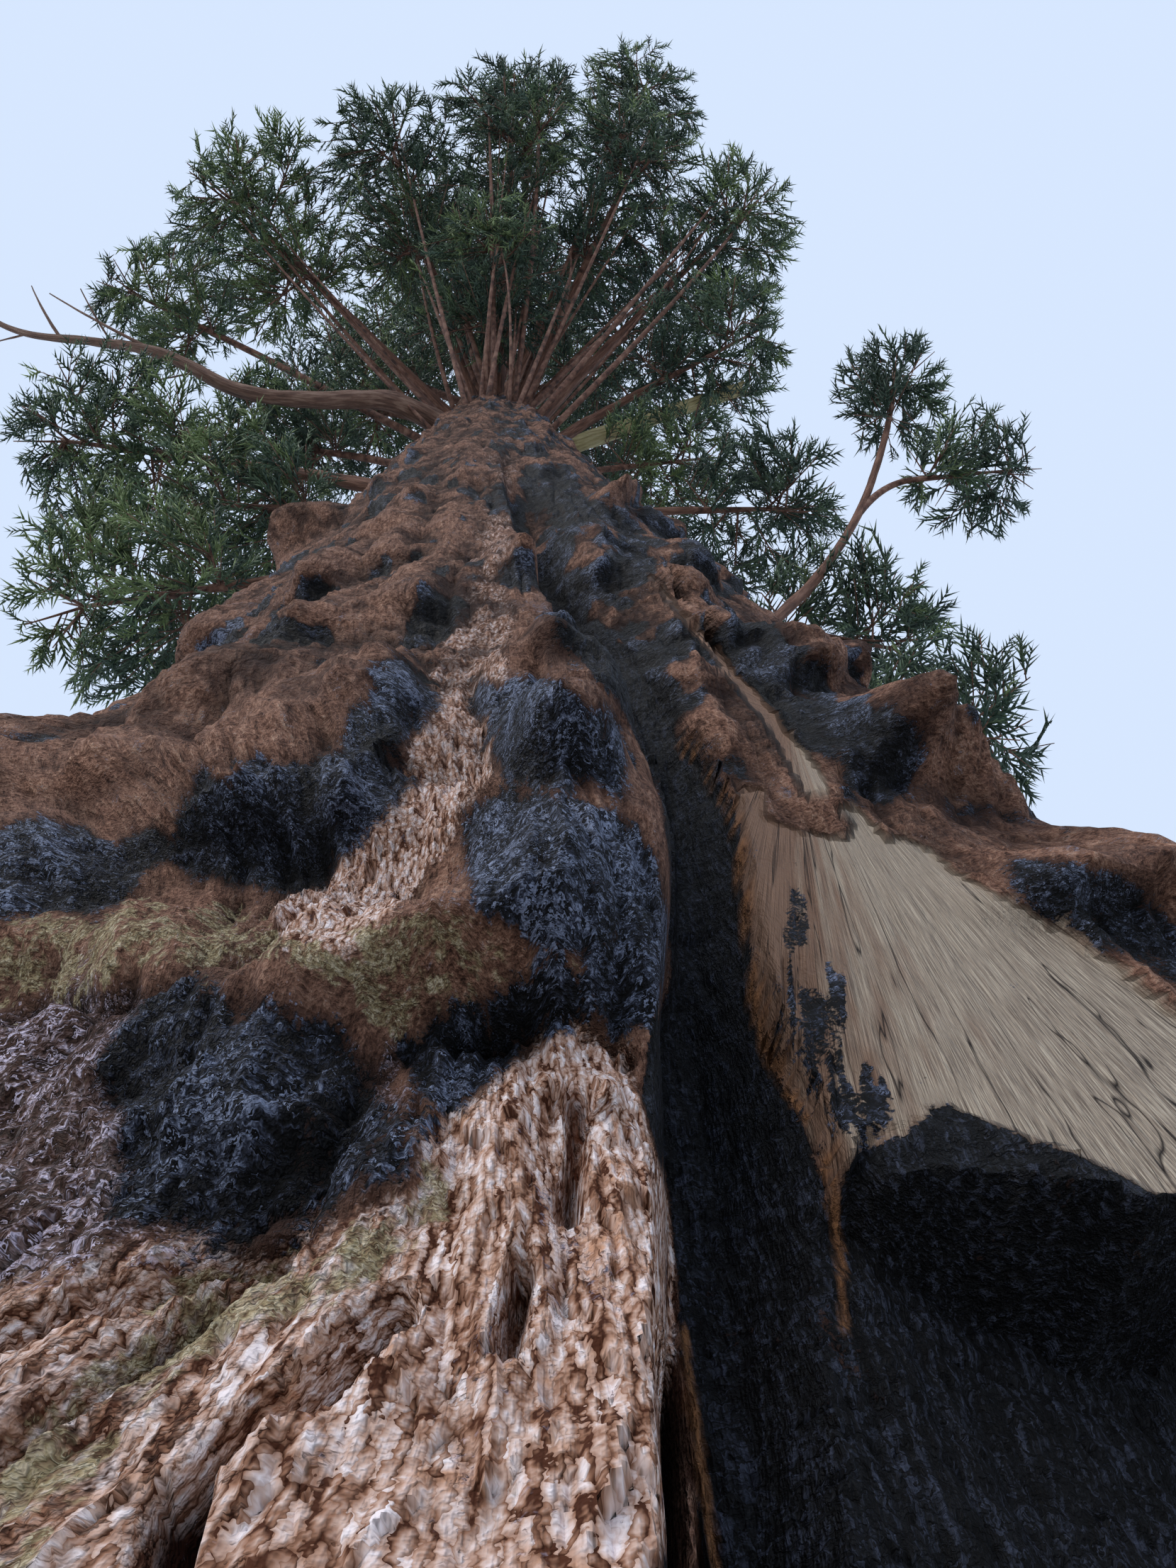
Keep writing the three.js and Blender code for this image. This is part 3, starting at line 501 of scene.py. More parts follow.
def fine_relief(at, arc, spot, share, rough, thin):
    """The relief on the large forms, in metres outwards. arc is the place round the trunk in metres."""
    x, y, z = at
    pale, inside = share["pale"], share["inside"]
    on = {**share, "cords": rough * thin, "bark": rough, "red_bark": rough * (1 - pale),
          "outer_char": share["char"] * (1 - inside)}
    fine = rough * 0.006 * waves(at, 110, 70 - 50 * pale, 43)
    for finish, kind, high, across, up, seed in RELIEF:
        fine = fine + on[finish] * high * kind(at, across, up, seed)
    rows = (x, y, z + 0.025 * waves(at, 7, 7, 45))
    for finish, high, across, up, seed in ROWS:
        fine = fine + on[finish] * high * furrow(rows, across, up, seed)
    rise = z + 0.020 * lumpy(at, 30, 30, 33)
    plate, gap = flakes(arc / PLATE[0], rise / PLATE[1], 34)
    crumb, crack = flakes(arc / CRUMB[0], rise / CRUMB[1], 20)
    fine = fine + pale * (0.008 * plate - 0.003 * smooth(0.14, 0.0, gap))
    fine = fine + inside * (0.003 * crumb - 0.004 * smooth(0.16, 0.0, crack))
    turn, far = grain_fan(spot)
    return fine + share["wood"] * 0.004 * furrow((turn / 2.6, far / 400, 0.5), 1, 1, 25)


print(len(RELIEF) + len(ROWS), "layers of relief")

# %% The trunk's surface
MEAN_RADIUS = 1.6  # metres; the noise is read on a cylinder of this radius
# heights, and how many degrees the groove's left wall lies in from the solid's there
GROOVE_WALL = ([1.6, 2.0, 2.5, 2.9, 3.3], [1.75, 2.35, 3.2, 1.5, 0.9])


def groove_at(azimuth, at):
    """How deep the burnt groove is: steep on its left and open to the right."""
    off = around(azimuth, groove_line(at[2])) + 0.8 * lumpy(at, 6, 4, 3)
    steep = 1.15 * smooth(-3.0, -1.3, off - np.interp(at[2], *GROOVE_WALL))
    steep = np.minimum(steep * hump(np.maximum(off, 0) / GROOVE_WIDTH), 1)
    return GROOVE_DEPTH * steep * (1 - smooth(*GROOVE_FADES, at[2]))


def hollow_at(azimuth, at, radius):
    """The distance into the charred hollow's outline, and how far its back wall lies from the axis."""
    off = around(azimuth, HOLLOW_AZIMUTH)
    across = radius * np.sin(np.radians(azimuth - HOLLOW_AZIMUTH))
    flat = np.stack([across + 0.02 * lumpy(at, 25, 25, 4), at[2] + 0.03 * lumpy(at, 22, 12, 6)], -1)
    near = np.abs(off) < 60
    depth = np.full(radius.shape, -1.0)
    depth[near] = outline_depth(flat[near], HOLLOW_OUTLINE)
    return depth, BACK_WALL / np.cos(np.radians(np.clip(off, -60, 60))) - 0.03 * smooth(0, 0.4, depth)


def trunk_surface(azimuth, z, first_seen):
    """The trunk's points and the shares of the finishes. Rings below first_seen take after that ring."""
    radius = plain_radius(azimuth, z)
    rings = np.maximum(np.arange(len(z)), first_seen)
    reach = -CAMERA_PLACE[1]
    front = smooth(-0.3, -0.05, (reach * np.cos(np.radians(azimuth)) - radius) / (reach - radius))

    # the cords lean over on the left of the foot, where the root flare carries them outwards
    lean = 20 * (np.maximum(z, 1.1) - 1.6) * smooth(3, -17, azimuth) * smooth(-60, -25, azimuth)
    turn = np.radians(azimuth - lean * smooth(2.8, 1.8, z))
    x, y = MEAN_RADIUS * np.sin(turn), -MEAN_RADIUS * np.cos(turn)
    x = x + 0.08 * lumpy((x, y, z), 2, 0.8, 1) + 0.03 * lumpy((x, y, z), 8, 4, 41)
    y = y + 0.08 * lumpy((x, y, z), 2, 0.8, 2) + 0.03 * lumpy((x, y, z), 8, 4, 42)
    at = (x, y, z)

    groove = groove_at(azimuth, at)
    depth, back = hollow_at(azimuth, at, radius)
    hollow = smooth(-0.006, 0.012, depth)
    bare = radius - groove * 0.9
    spot = seen_at(place(azimuth, bare + hollow * (np.minimum(back, bare) - bare), z)[rings])
    brow, under = hoods(azimuth, z)
    share = finish_shares(spot, at, azimuth, front, depth, brow, under)
    wood, pale = share["wood"], share["pale"]
    rough = (1 - wood) * (1 - share["inside"])

    # relief: large hoods, cords, swells and creases, then what lies on them
    thin = np.clip(column_radius(z) / 1.5, 0.25, 1)
    brow = brow * rough * (1 - 0.5 * pale)
    hood = HOOD_OUT * thin * brow
    swell = sum(out * blot(spot, *shape, SWELL_HANG) for *shape, out in SWELLS)
    crease = np.maximum.reduce([deep * beside(spot, line, 0, wide, 0) for line, wide, deep in CREASES])
    coarse = hood + rough * thin * (1 - 0.6 * pale) * 0.060 * furrow(at, 5.5, 0.75, 14)
    coarse = coarse + front * (swell - crease - 0.035 * share["shaded_slit"]) - 0.010 * wood + 0.012 * share["ember"]
    arc = MEAN_RADIUS * turn + 0.8 * groove + 0.030 * lumpy(at, 14, 9, 18) + 0.012 * lumpy(at, 50, 50, 32)
    fine = fine_relief(at, arc, spot, share, rough, thin)

    outer = radius - groove * (1 - wood * 0.6) + coarse + fine
    total = outer + hollow * (np.minimum(back + fine, outer) - outer)
    sag = (0.7 * hood * smooth(0.0, 0.3, brow) + 0.5 * front * swell) * smooth(0.3, 1.0, z)
    points = place(azimuth, total, z - sag)
    # painted light and shade from the relief: low in the hollows between cords and hoods, high on the brows'
    # tops
    relief_light_and_shade = 0.5 + (fine + 0.35 * (coarse - 0.5 * hood)) / 0.055 + 0.45 * (brow - 0.35) * smooth(2.4, 3.4, z)

    # the finishes again, now that each point has its place
    spot = seen_at(points[rings])
    share = finish_shares(spot, at, azimuth, front, depth, brow, under)
    # the creases get painted shade too
    share["relief_light_and_shade"] = np.clip(relief_light_and_shade, 0, 1) * (1 - 8 * front * crease)
    solid = (total - fine) / MEAN_RADIUS
    flow = np.stack([x * solid, y * solid, z], -1)
    fan_turn, fan_far = grain_fan(spot)
    return points, share, flow, np.stack([fan_turn / 6, fan_far / 260, 0 * z], -1)


print("the trunk's surface has its rule")

# %% [markdown]
# ## The trunk's mesh
# The mesh is a cylinder that is cut into rings and then pulled onto the surface. Its columns crowd towards
# the front and its rings towards eye level, because a fixed spacing would waste faces where nobody stands.
# It is made in bands, so that no piece grows too heavy, and neighbouring bands share the same ring.

# %% Cut cylinders
def ringed_cylinder(name, sides, rings):
    """A closed cylinder of radius 1, from z = 0 to z = 1, cut into rings."""
    bpy.ops.object.select_all(action="DESELECT")
    bpy.ops.mesh.primitive_cylinder_add(
        vertices=sides, radius=1, depth=1, end_fill_type="TRIFAN", location=(0, 0, 0.5))
    piece = bpy.context.object
    piece.name = piece.data.name = name
    bpy.ops.object.transform_apply(location=True)
    upright = [abs(piece.data.vertices[e.vertices[0]].co.z - piece.data.vertices[e.vertices[1]].co.z) > 0.5
               for e in piece.data.edges]
    bpy.ops.object.mode_set(mode="EDIT")
    bpy.ops.mesh.select_mode(type="EDGE")
    bpy.ops.mesh.select_all(action="DESELECT")
    bpy.ops.object.mode_set(mode="OBJECT")
    piece.data.edges.foreach_set("select", upright)
    bpy.ops.object.mode_set(mode="EDIT")
    bpy.ops.mesh.subdivide(number_cuts=rings - 1)
    bpy.ops.object.mode_set(mode="OBJECT")
    return piece


def corners(piece):
    flat = np.empty(3 * len(piece.data.vertices))
    piece.data.vertices.foreach_get("co", flat)
    return flat.reshape(-1, 3)


def move_corners(piece, points):
    piece.data.vertices.foreach_set("co", np.ascontiguousarray(points, dtype=np.float64).ravel())
    piece.data.update()


def store(piece, name, values):
    """Keeps a number or a vector for each corner of a piece, for its material."""
    kind, field = ("FLOAT_VECTOR", "vector") if values.ndim == 2 else ("FLOAT", "value")
    layer = piece.data.attributes.new(name, kind, "POINT")
    layer.data.foreach_set(field, np.ascontiguousarray(values, dtype=np.float32).ravel())


print("cylinders can be cut")

# %% Points of the trunk
SIDES = 640
FINE_FROM, FINE_TO, FINE_STEP = 1.2, 1.65, 0.0045  # the rings are closest between these heights
RING_GROWTH = 0.0088  # above them, how much further apart they are for each metre over the camera
ring_levels = list(np.linspace(0, FINE_FROM, 23)[:-1]) + list(np.arange(FINE_FROM, FINE_TO, FINE_STEP))
while ring_levels[-1] < 20:
    ring_levels.append(ring_levels[-1] + RING_GROWTH * (ring_levels[-1] - CAMERA_PLACE[2]))
ring_levels = np.array(ring_levels + list(np.linspace(20.4, TRUNK_TOP, 30)))
columns = np.linspace(-1, 1, SIDES, endpoint=False)
crowding = np.interp(ring_levels, [0, 1.8, 3.0, 8.0], [0.2, 0.2, 0.45, 1.0])[:, None]
grid_azimuth = 180 * (crowding * columns + (1 - crowding) * columns**3)
grid_level = np.broadcast_to(ring_levels[:, None], grid_azimuth.shape)
LOWEST_SEEN = 1.34  # the picture ends at this height
trunk_points, trunk_masks, trunk_flow, trunk_grain = trunk_surface(
    grid_azimuth, grid_level, int(np.searchsorted(ring_levels, LOWEST_SEEN)))
print(grid_azimuth.size, "points on the trunk")

# %% Trunk bands
BAND_COUNT = 4
band_rings = np.linspace(0, len(ring_levels) - 1, BAND_COUNT + 1).astype(int)
trunk_bands = []
for number, (low, high) in enumerate(zip(band_rings[:-1], band_rings[1:]), start=1):
    band = ringed_cylinder(f"trunk_bark_{number}", SIDES, high - low)
    at = corners(band)
    column = np.round((np.degrees(np.arctan2(at[:, 0], -at[:, 1])) + 180) / 360 * SIDES).astype(int) % SIDES
    ring = low + np.round(at[:, 2] * (high - low)).astype(int)
    on_axis = np.hypot(at[:, 0], at[:, 1]) < 0.5
    moved = trunk_points[ring, column].copy()
    moved[on_axis] = np.stack([0 * ring[on_axis], 0 * ring[on_axis], ring_levels[ring[on_axis]]], -1)
    move_corners(band, moved)
    for mask, values in trunk_masks.items():
        store(band, mask, values[ring, column])
    store(band, "flow", trunk_flow[ring, column])
    store(band, "grain", trunk_grain[ring, column])
    bpy.ops.object.shade_smooth_by_angle(angle=math.radians(55))
    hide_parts("trunk")
    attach(band, "root")
    trunk_bands.append(band)
print([len(band.data.polygons) for band in trunk_bands], "faces in the bands")

# %% [markdown]
# ## The trunk's finish
# One material carries all the finishes of the trunk and mixes them by the shares stored on the mesh. Each
# has its own texture: fibres for bark, overlapping flakes for the pale column, short level ledges for outer
# char, small blocks for the char inside, and long streaks and dark cracks for the grey wood. The same
# textures also raise the surface, in metres, through one bump node. Patterns are added and multiplied in
# code, and each such step becomes a Math node.

# %% Node helpers
def linear(*seen):
    """A colour for a node, from the red, green and blue that the eye sees."""
    return (*(c / 12.92 if c <= 0.04045 else ((c + 0.055) / 1.055) ** 2.4 for c in seen), 1.0)


def tones(*stops):
    """Stops of a ramp, each given as its place and the red, green and blue that the eye sees."""
    return [(stop[0], linear(*stop[1:])) for stop in stops]


class Pattern:
    """One output of a node. Adding, subtracting or multiplying patterns adds a Math node to the material."""

    def __init__(self, finish, socket):
        self.finish, self.socket = finish, socket

    def __add__(self, other):
        return self.finish.math("ADD", self, other)

    def __sub__(self, other):
        return self.finish.math("SUBTRACT", self, other)

    def __rsub__(self, other):
        return self.finish.math("SUBTRACT", other, self)

    def __mul__(self, other):
        return self.finish.math("MULTIPLY", self, other)

    def clamped(self):
        """The same pattern, kept between 0 and 1."""
        self.socket.node.use_clamp = True
        return self

    def twin(self, output):
        """Another output of the same node."""
        return Pattern(self.finish, self.socket.node.outputs[output])


class Finish:
    """A material, with short ways to add and join its nodes."""

    def __init__(self, name):
        self.material = bpy.data.materials.new(name)
        self.material.use_nodes = True
        self.tree = self.material.node_tree
        self.shader = self.tree.nodes["Principled BSDF"]

    def add(self, kind, feeds, output=0, **settings):
        node = self.tree.nodes.new(kind)
        for key, value in settings.items():
            setattr(node, key, value)
        for key, value in feeds.items():
            self.feed(node.inputs[key], value)
        return Pattern(self, node.outputs[output])

    def feed(self, socket, value):
        if isinstance(value, Pattern):
            self.tree.links.new(value.socket, socket)
        else:
            socket.default_value = value

    def give(self, name, value):
        """Sets one of the shader's own inputs."""
        self.feed(self.shader.inputs[name], value)

    def bump(self, height):
        self.give("Normal", self.add("ShaderNodeBump", {"Height": height, "Distance": 1.0, "Strength": 1.0}))

    def attribute(self, name, output="Fac"):
        return self.add("ShaderNodeAttribute", {}, output, attribute_name=name)

    def mapped(self, vector, scale):
        return self.add("ShaderNodeMapping", {"Vector": vector, "Scale": scale})

    def noise(self, vector, scale, detail=4.0, rough=0.6, output=0):
        feeds = {"Vector": vector, "Scale": scale, "Detail": detail, "Roughness": rough}
        return self.add("ShaderNodeTexNoise", feeds, output)

    def shaken(self, vector, scale, detail, rough, reach):
        """The vector, pushed about by noise, which makes the edges of a pattern ragged."""
        push = self.noise(vector, scale, detail, rough, "Color")
        push = self.add("ShaderNodeVectorMath", {0: push, 1: reach}, operation="MULTIPLY")
        return self.add("ShaderNodeVectorMath", {0: vector, 1: push}, operation="ADD")

    def math(self, operation, a, b=0.0):
        return self.add("ShaderNodeMath", {0: a, 1: b}, operation=operation)

    def mix(self, share, a, b):
        return self.add("ShaderNodeMix", {0: share, 6: a, 7: b}, 2, data_type="RGBA")

    def blend(self, share, a, b):
        return self.add("ShaderNodeMix", {0: share, 2: a, 3: b}, 0, data_type="FLOAT")

    def ramp(self, value, stops):
        node = self.tree.nodes.new("ShaderNodeValToRGB")
        for _ in stops[2:]:
            node.color_ramp.elements.new(0.5)
        for element, (position, colour) in zip(node.color_ramp.elements, stops):
            element.position, element.color = position, colour
        self.feed(node.inputs["Fac"], value)
        return Pattern(self, node.outputs["Color"])

    def between(self, value, low, high):
        return self.ramp(value, tones((low, 0, 0, 0), (high, 1, 1, 1)))


print("helpers for materials are ready")

# %% Trunk material
bark = Finish("burnt_bark")
flow = bark.attribute("flow", "Vector")
# painted light and shade of the relief, stored on the mesh
relief_light_and_shade = bark.attribute("relief_light_and_shade")
drift = bark.noise(flow, 3.0, 2)
ledges = bark.noise(bark.mapped(flow, (1, 1, 0.6)), 6.5, 4, 0.68)  # hollows that count high up the trunk
height = bark.add("ShaderNodeSeparateXYZ", {0: flow}, "Z")
high = ((height - 1.9) * 0.8).clamped()
fibres = bark.noise(bark.mapped(flow, (1, 1, 0.14)), 95, 3, 0.75)
cords = bark.noise(bark.mapped(flow, (1, 1, 0.3)), 22, 2)
crumbs = bark.noise(flow, 150, 2, 0.7)
patches = bark.noise(flow, 34, 3, 0.7)
shaken = bark.shaken(flow, 95.0, 2.0, 0.7, (0.010, 0.010, 0.028))
rows = bark.noise(bark.mapped(shaken, (0.32, 0.32, 1.0)), 95, 3, 0.66)


def steps(pattern, count):
    """Cuts a smooth pattern into layers: each rises slowly to its edge and then drops, as loose flakes do."""
    return bark.math("FRACT", pattern * count)


layers = steps(rows, 5.0)
blocks = steps(bark.noise(bark.mapped(shaken, (1, 1, 0.8)), 34, 2, 0.5), 8.0)
plate_cells = {"Vector": bark.mapped(shaken, (1, 1, 0.28)), "Scale": 165.0}
plate_own = bark.add("ShaderNodeTexVoronoi", plate_cells, "Color")
plates = (1.0 - plate_own.twin("Distance") * 1.2).clamped()
print(len(bark.tree.nodes), "nodes make the patterns")

# %% Ragged borders
plain = {name: bark.attribute(name) for name in trunk_masks}
share = dict(plain)
edge = (cords - 0.5) * 1.5 + (crumbs - 0.5) * 1.3
for name, sharpness in (("char", 5.0), ("pale", 3.0), ("layers", 2.0), ("inside", 3.0)):
    share[name] = ((plain[name] + edge - 0.5) * sharpness + 0.5).clamped()
share["moss"] = ((plain["moss"] * 0.69 + (patches - 0.5) * 2.2 - 0.52) * 5.0).clamped()
print("the borders of", len(share), "finishes are ragged")

# %% Colours of the trunk
felt = fibres * 0.42 + crumbs * 0.40 + cords * 0.18
cinnamon = bark.ramp(felt, tones(
    (0.36, 0.21, 0.14, 0.115), (0.46, 0.40, 0.285, 0.235), (0.54, 0.54, 0.405, 0.34),
    (0.66, 0.72, 0.60, 0.52)))
duller = bark.ramp(felt, tones((0.38, 0.19, 0.125, 0.11), (0.64, 0.50, 0.38, 0.33)))
cinnamon = bark.mix(((drift - 0.46) * 3.0).clamped(), cinnamon, duller)
# painted shade: the bark darkens in its hollows and creases
cinnamon = bark.mix(bark.between(relief_light_and_shade, 0.12, 0.58), linear(0.09, 0.055, 0.045), cinnamon)
tone = plates * 0.45 + fibres * 0.45 + (plate_own - 0.5) * 0.42
pale = bark.ramp(tone, tones(
    (0.18, 0.27, 0.15, 0.10), (0.29, 0.56, 0.41, 0.33), (0.44, 0.75, 0.64, 0.59), (0.66, 0.90, 0.86, 0.87)))
browner = bark.ramp(tone, tones((0.20, 0.30, 0.17, 0.11), (0.52, 0.74, 0.57, 0.47)))
pale = bark.mix(((patches - 0.50) * 6.0).clamped(), pale, browner)
# painted shade in the hollows of the pale bark
pale = bark.mix(bark.between(relief_light_and_shade, 0.08, 0.32), linear(0.17, 0.085, 0.055), pale)
# painted highlights: lit brightens crests and ledges, and the top stops of layered and outer_char are painted
# sheen
lit = layers * 0.42 + relief_light_and_shade * 0.30 + crumbs * 0.42 + ((ledges - 0.52) * high + (cords - 0.5) * 0.5)
layered = bark.ramp(lit, tones(
    (0.40, 0.07, 0.05, 0.05), (0.56, 0.23, 0.165, 0.15), (0.67, 0.43, 0.37, 0.38), (0.80, 0.78, 0.75, 0.84)))
outer_char = bark.ramp(lit, tones(
    (0.46, 0.03, 0.03, 0.035), (0.62, 0.085, 0.09, 0.11), (0.75, 0.20, 0.22, 0.28), (0.88, 0.46, 0.50, 0.60)))
# the bluish top stop is painted sheen
inner_char = bark.ramp(blocks * 0.20 + fibres * 0.70 + layers * 0.10, tones(
    (0.34, 0.02, 0.02, 0.025), (0.53, 0.065, 0.07, 0.085), (0.70, 0.22, 0.24, 0.30)))
char = bark.mix(share["inside"], outer_char, inner_char)
moss = bark.ramp(crumbs * 0.7 + layers * 0.25, tones(
    (0.30, 0.31, 0.24, 0.18), (0.40, 0.47, 0.41, 0.31), (0.50, 0.60, 0.56, 0.43), (0.64, 0.76, 0.73, 0.63)))
colour = bark.mix(share["pale"] * (1.0 - high * 0.45), cinnamon, pale)
# painted shade: the hollows between the ledges high up the trunk are darkened
hollows = ((0.52 - ledges) * 9.0).clamped() * (high * 0.80)
colour = bark.mix(hollows, colour, linear(0.16, 0.10, 0.085))
colour = bark.mix(share["layers"] * 0.9, colour, layered)
colour = bark.mix(share["moss"] * 0.78, colour, moss)
print("bark, char and moss have their colours")

# %% Bare wood
grain = bark.attribute("grain", "Vector")
streak = bark.noise(bark.mapped(grain, (11, 0.9, 1)), 4, 3, 0.68)
wavering = bark.shaken(grain, 2.2, 1.0, 0.5, (0.30, 0.30, 0.30))
crack = bark.noise(bark.mapped(wavering, (1, 0.06, 1)), 1.9, 2, 0.45)
crack = (bark.math("ABSOLUTE", crack - 0.5) * (drift * 110.0 + 30.0)).clamped()
wood = bark.ramp(streak, tones(
    (0.32, 0.34, 0.30, 0.265), (0.46, 0.49, 0.44, 0.39), (0.56, 0.60, 0.55, 0.49), (0.72, 0.73, 0.69, 0.62)))
warm = bark.ramp(streak, tones((0.34, 0.25, 0.18, 0.145), (0.66, 0.54, 0.43, 0.36)))
across = bark.add("ShaderNodeSeparateXYZ", {0: grain}, "X")
warmth = bark.noise(grain, 1.6, 2) + 0.42 - across * 0.11
wood = bark.mix(((warmth - 0.45) * 2.6).clamped(), wood, warm)
wood = bark.mix(crack, linear(0.09, 0.06, 0.05), wood)
ember = bark.ramp(fibres, tones((0.3, 0.22, 0.13, 0.08), (0.7, 0.62, 0.44, 0.30)))
print("the bare wood has its streaks and cracks")

# %% Finishes laid over one another
scorched = (plain["char"] * 1.8).clamped() * 0.70
# in the slits, the dark red-brown is painted shade
for amount, finish in ((scorched, linear(0.15, 0.10, 0.09)), (share["wood"], wood), (share["char"], char),
                       (share["ember"], ember), (share["shaded_slit"] * 0.8, linear(0.30, 0.15, 0.09))):
    colour = bark.mix(amount, colour, finish)
bark.give("Base Color", colour)
gloss = bark.blend(share["char"], 0.90, 0.84 - layers * 0.30)
bark.give("Roughness", bark.blend(share["wood"], gloss, 0.75))
bark.give("Specular IOR Level", 0.12)
print("the trunk has its colours")

# %% Bump of the trunk
rise = fibres * 0.011 + cords * 0.016 + crumbs * 0.008
plate_rise = plates * 0.003 + fibres * 0.008 + plate_own * 0.009 + crumbs * 0.003
layer_rise = layers * 0.003 + crumbs * 0.010
block_rise = layers * 0.003 + fibres * 0.014
char_rise = bark.blend(share["inside"], layer_rise + cords * 0.014, block_rise)
for amount, relief in ((share["pale"], plate_rise), (share["layers"], layer_rise),
                       (plain["moss"], layer_rise), (share["char"], char_rise)):
    rise = bark.blend(amount, rise, relief)
rise = bark.blend(share["wood"], rise + ledges * high * 0.12, fibres * 0.006)
bark.bump(rise)
for band in trunk_bands:
    band.data.materials.append(bark.material)
print(len(bark.tree.nodes), "nodes in the trunk's material")

# %% [markdown]
# ## Boughs
# The live boughs leave the trunk steeply and end in the foliage. Each is a cylinder cut into rings and bent
# along the same curve as its solid, swollen where it joins the trunk, with knots and furrows from the
# noise.

# %% Curves
def unit(vectors):
    return vectors / np.maximum(np.linalg.norm(vectors, axis=-1, keepdims=True), 1e-9)


def crossways(direction):
    """Two unit vectors square to each direction."""
    upright = np.abs(direction[..., 2:]) > 0.9
    reference = np.where(upright, np.array([1.0, 0, 0]), np.array([0, 0, 1.0]))
    side = unit(np.cross(direction, reference))
    return side, np.cross(side, direction)


def bent_line(foot, bend, end):
    foot, bend, end = (np.asarray(p, float) for p in (foot, bend, end))

    def line(t):
        t = t[:, None]
        return (1 - t) ** 2 * foot + 2 * t * (1 - t) * bend + t**2 * end

    return line


def through(points):
    """A smooth line through the points."""
    points = np.asarray(points, float)
    padded = np.vstack([2 * points[0] - points[1], points, 2 * points[-1] - points[-2]])

    def line(t):
        at = np.clip(t, 0, 1) * (len(points) - 1)
        k = np.minimum(at.astype(int), len(points) - 2)
        f = (at - k)[:, None]
        a, b, c, d = (padded[k + i] for i in range(4))
        bends = (2 * a - 5 * b + 4 * c - d) * f**2 + (3 * b - a - 3 * c + d) * f**3
        return 0.5 * (2 * b + (c - a) * f + bends)

    return line


def bend_cylinder(piece, line, base, tip, seed, rough=0.16, collar=0.0, ragged=0.0):
    at = corners(piece)
    share = np.clip(at[:, 2], 0, 1)
    middle, ahead, behind = line(share), line(np.minimum(share + 0.01, 1)), line(np.maximum(share - 0.01, 0))
    direction = unit(ahead - behind)
    side, up = crossways(direction)
    length = np.linalg.norm(np.diff(line(np.linspace(0, 1, 30)), axis=0), axis=1).sum()
    x, y, along = at[:, 0], at[:, 1], share * length
    radius = base + (tip - base) * share
    knots = lumpy((x, y, along), 1.5, 2.5, seed) + 0.6 * lumpy((x, y, along), 4, 6, seed + 1)
    radius = radius * (1 + collar * np.exp(-share * 7) + rough * knots)
    moved = middle + side * (x * radius)[:, None] + up * (y * radius)[:, None]
    if ragged:
        jag = ragged * (noise(x * 3, y * 3, 0, seed + 2) - 0.5) * smooth(0.93, 1.0, share) * np.hypot(x, y)
        moved = moved + direction * jag[:, None]
    move_corners(piece, moved)
    store(piece, "along", np.stack([x * base, y * base, along], -1))
    return piece


def finished(piece, slot, *nodes, angle=60):
    bpy.ops.object.select_all(action="DESELECT")
    piece.select_set(True)
    bpy.context.view_layer.objects.active = piece
    bpy.ops.object.mode_set(mode="EDIT")
    bpy.ops.mesh.select_all(action="SELECT")
    bpy.ops.mesh.normals_make_consistent(inside=False)
    bpy.ops.object.mode_set(mode="OBJECT")
    bpy.ops.object.shade_smooth_by_angle(angle=math.radians(angle))
    if nodes:
        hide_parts(*nodes)
    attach(piece, "root")
    return piece


print("curves are ready")

# %% The foliage masses and the boughs that carry them
# name, azimuth, reach, height, size, foot height, tilt, azimuth of the foot
BOUGHS = [
    ("front_left", -18, 4.3, 24.0, 1.98, 20.3, 35, -18), ("front_middle", 6, 4.5, 24.3, 1.93, 20.9, 35, 6),
    ("front_right", 30, 4.6, 24.0, 1.93, 20.5, 35, 30), ("front_far", 27, 6.5, 26.9, 1.43, 23.6, 40, 15),
    ("right_near", 50, 5.2, 23.3, 1.60, 20.1, 25, 50), ("right_low", 66, 3.9, 20.7, 1.38, 18.5, 20, 66),
    ("left_high", -47, 5.0, 23.2, 1.87, 20.6, 25, -47), ("left_outer", -84, 5.0, 17.7, 1.49, 15.8, 15, -84),
    ("left_lower", -100, 3.9, 13.9, 1.43, 11.7, 15, -100),
    ("right_middle", 93, 3.5, 16.3, 1.21, 14.3, 20, 93),
    ("right_lower", 106, 3.9, 13.0, 1.21, 11.2, 20, 106),
    ("right_sparse", 77, 5.4, 16.7, 0.94, 8.9, 0, 118),
    ("right_lowest", 108, 4.15, 10.5, 1.04, 8.3, 20, 122),
]
SPARSE_BEND = place(104, 3.65, 12.5)
BOUGHS += [(f"back_{i + 1}", 138 + 47 * ((i * 2) % 5) * 0.5, 4.2, 12.5 + 2.6 * i, 2.09, 10.1 + 2.6 * i, 20,
            138 + 47 * ((i * 2) % 5) * 0.5) for i in range(5)]
# name, azimuth, reach, height, size, tilt, foot height
STEMMED = [
    ("front_high", 10, 5.7, 26.6, 1.32, 40, 22.5), ("left_far", -66, 5.5, 21.4, 1.26, 20, 18.8),
    ("front_inner", 2, 2.7, 21.4, 1.38, 30, None), ("left_inner", -84, 3.2, 19.7, 1.38, 20, None),
    ("left_near", -90, 3.05, 15.9, 1.26, 20, None), ("right_inner", 88, 2.7, 19.2, 1.16, 25, None),
]
for t, (height, count, reach, size, turn, tilt) in enumerate(
        ((27.6, 5, 3.2, 2.1, 60, 35), (31.3, 4, 2.7, 2.1, 20, 45), (34.9, 3, 2.0, 1.95, 75, 55)), start=1):
    STEMMED += [(f"tier_{t}_{i + 1}", turn + 360 * i / count, reach, height + 0.5 * (i % 2), size, tilt, None)
                for i in range(count)]


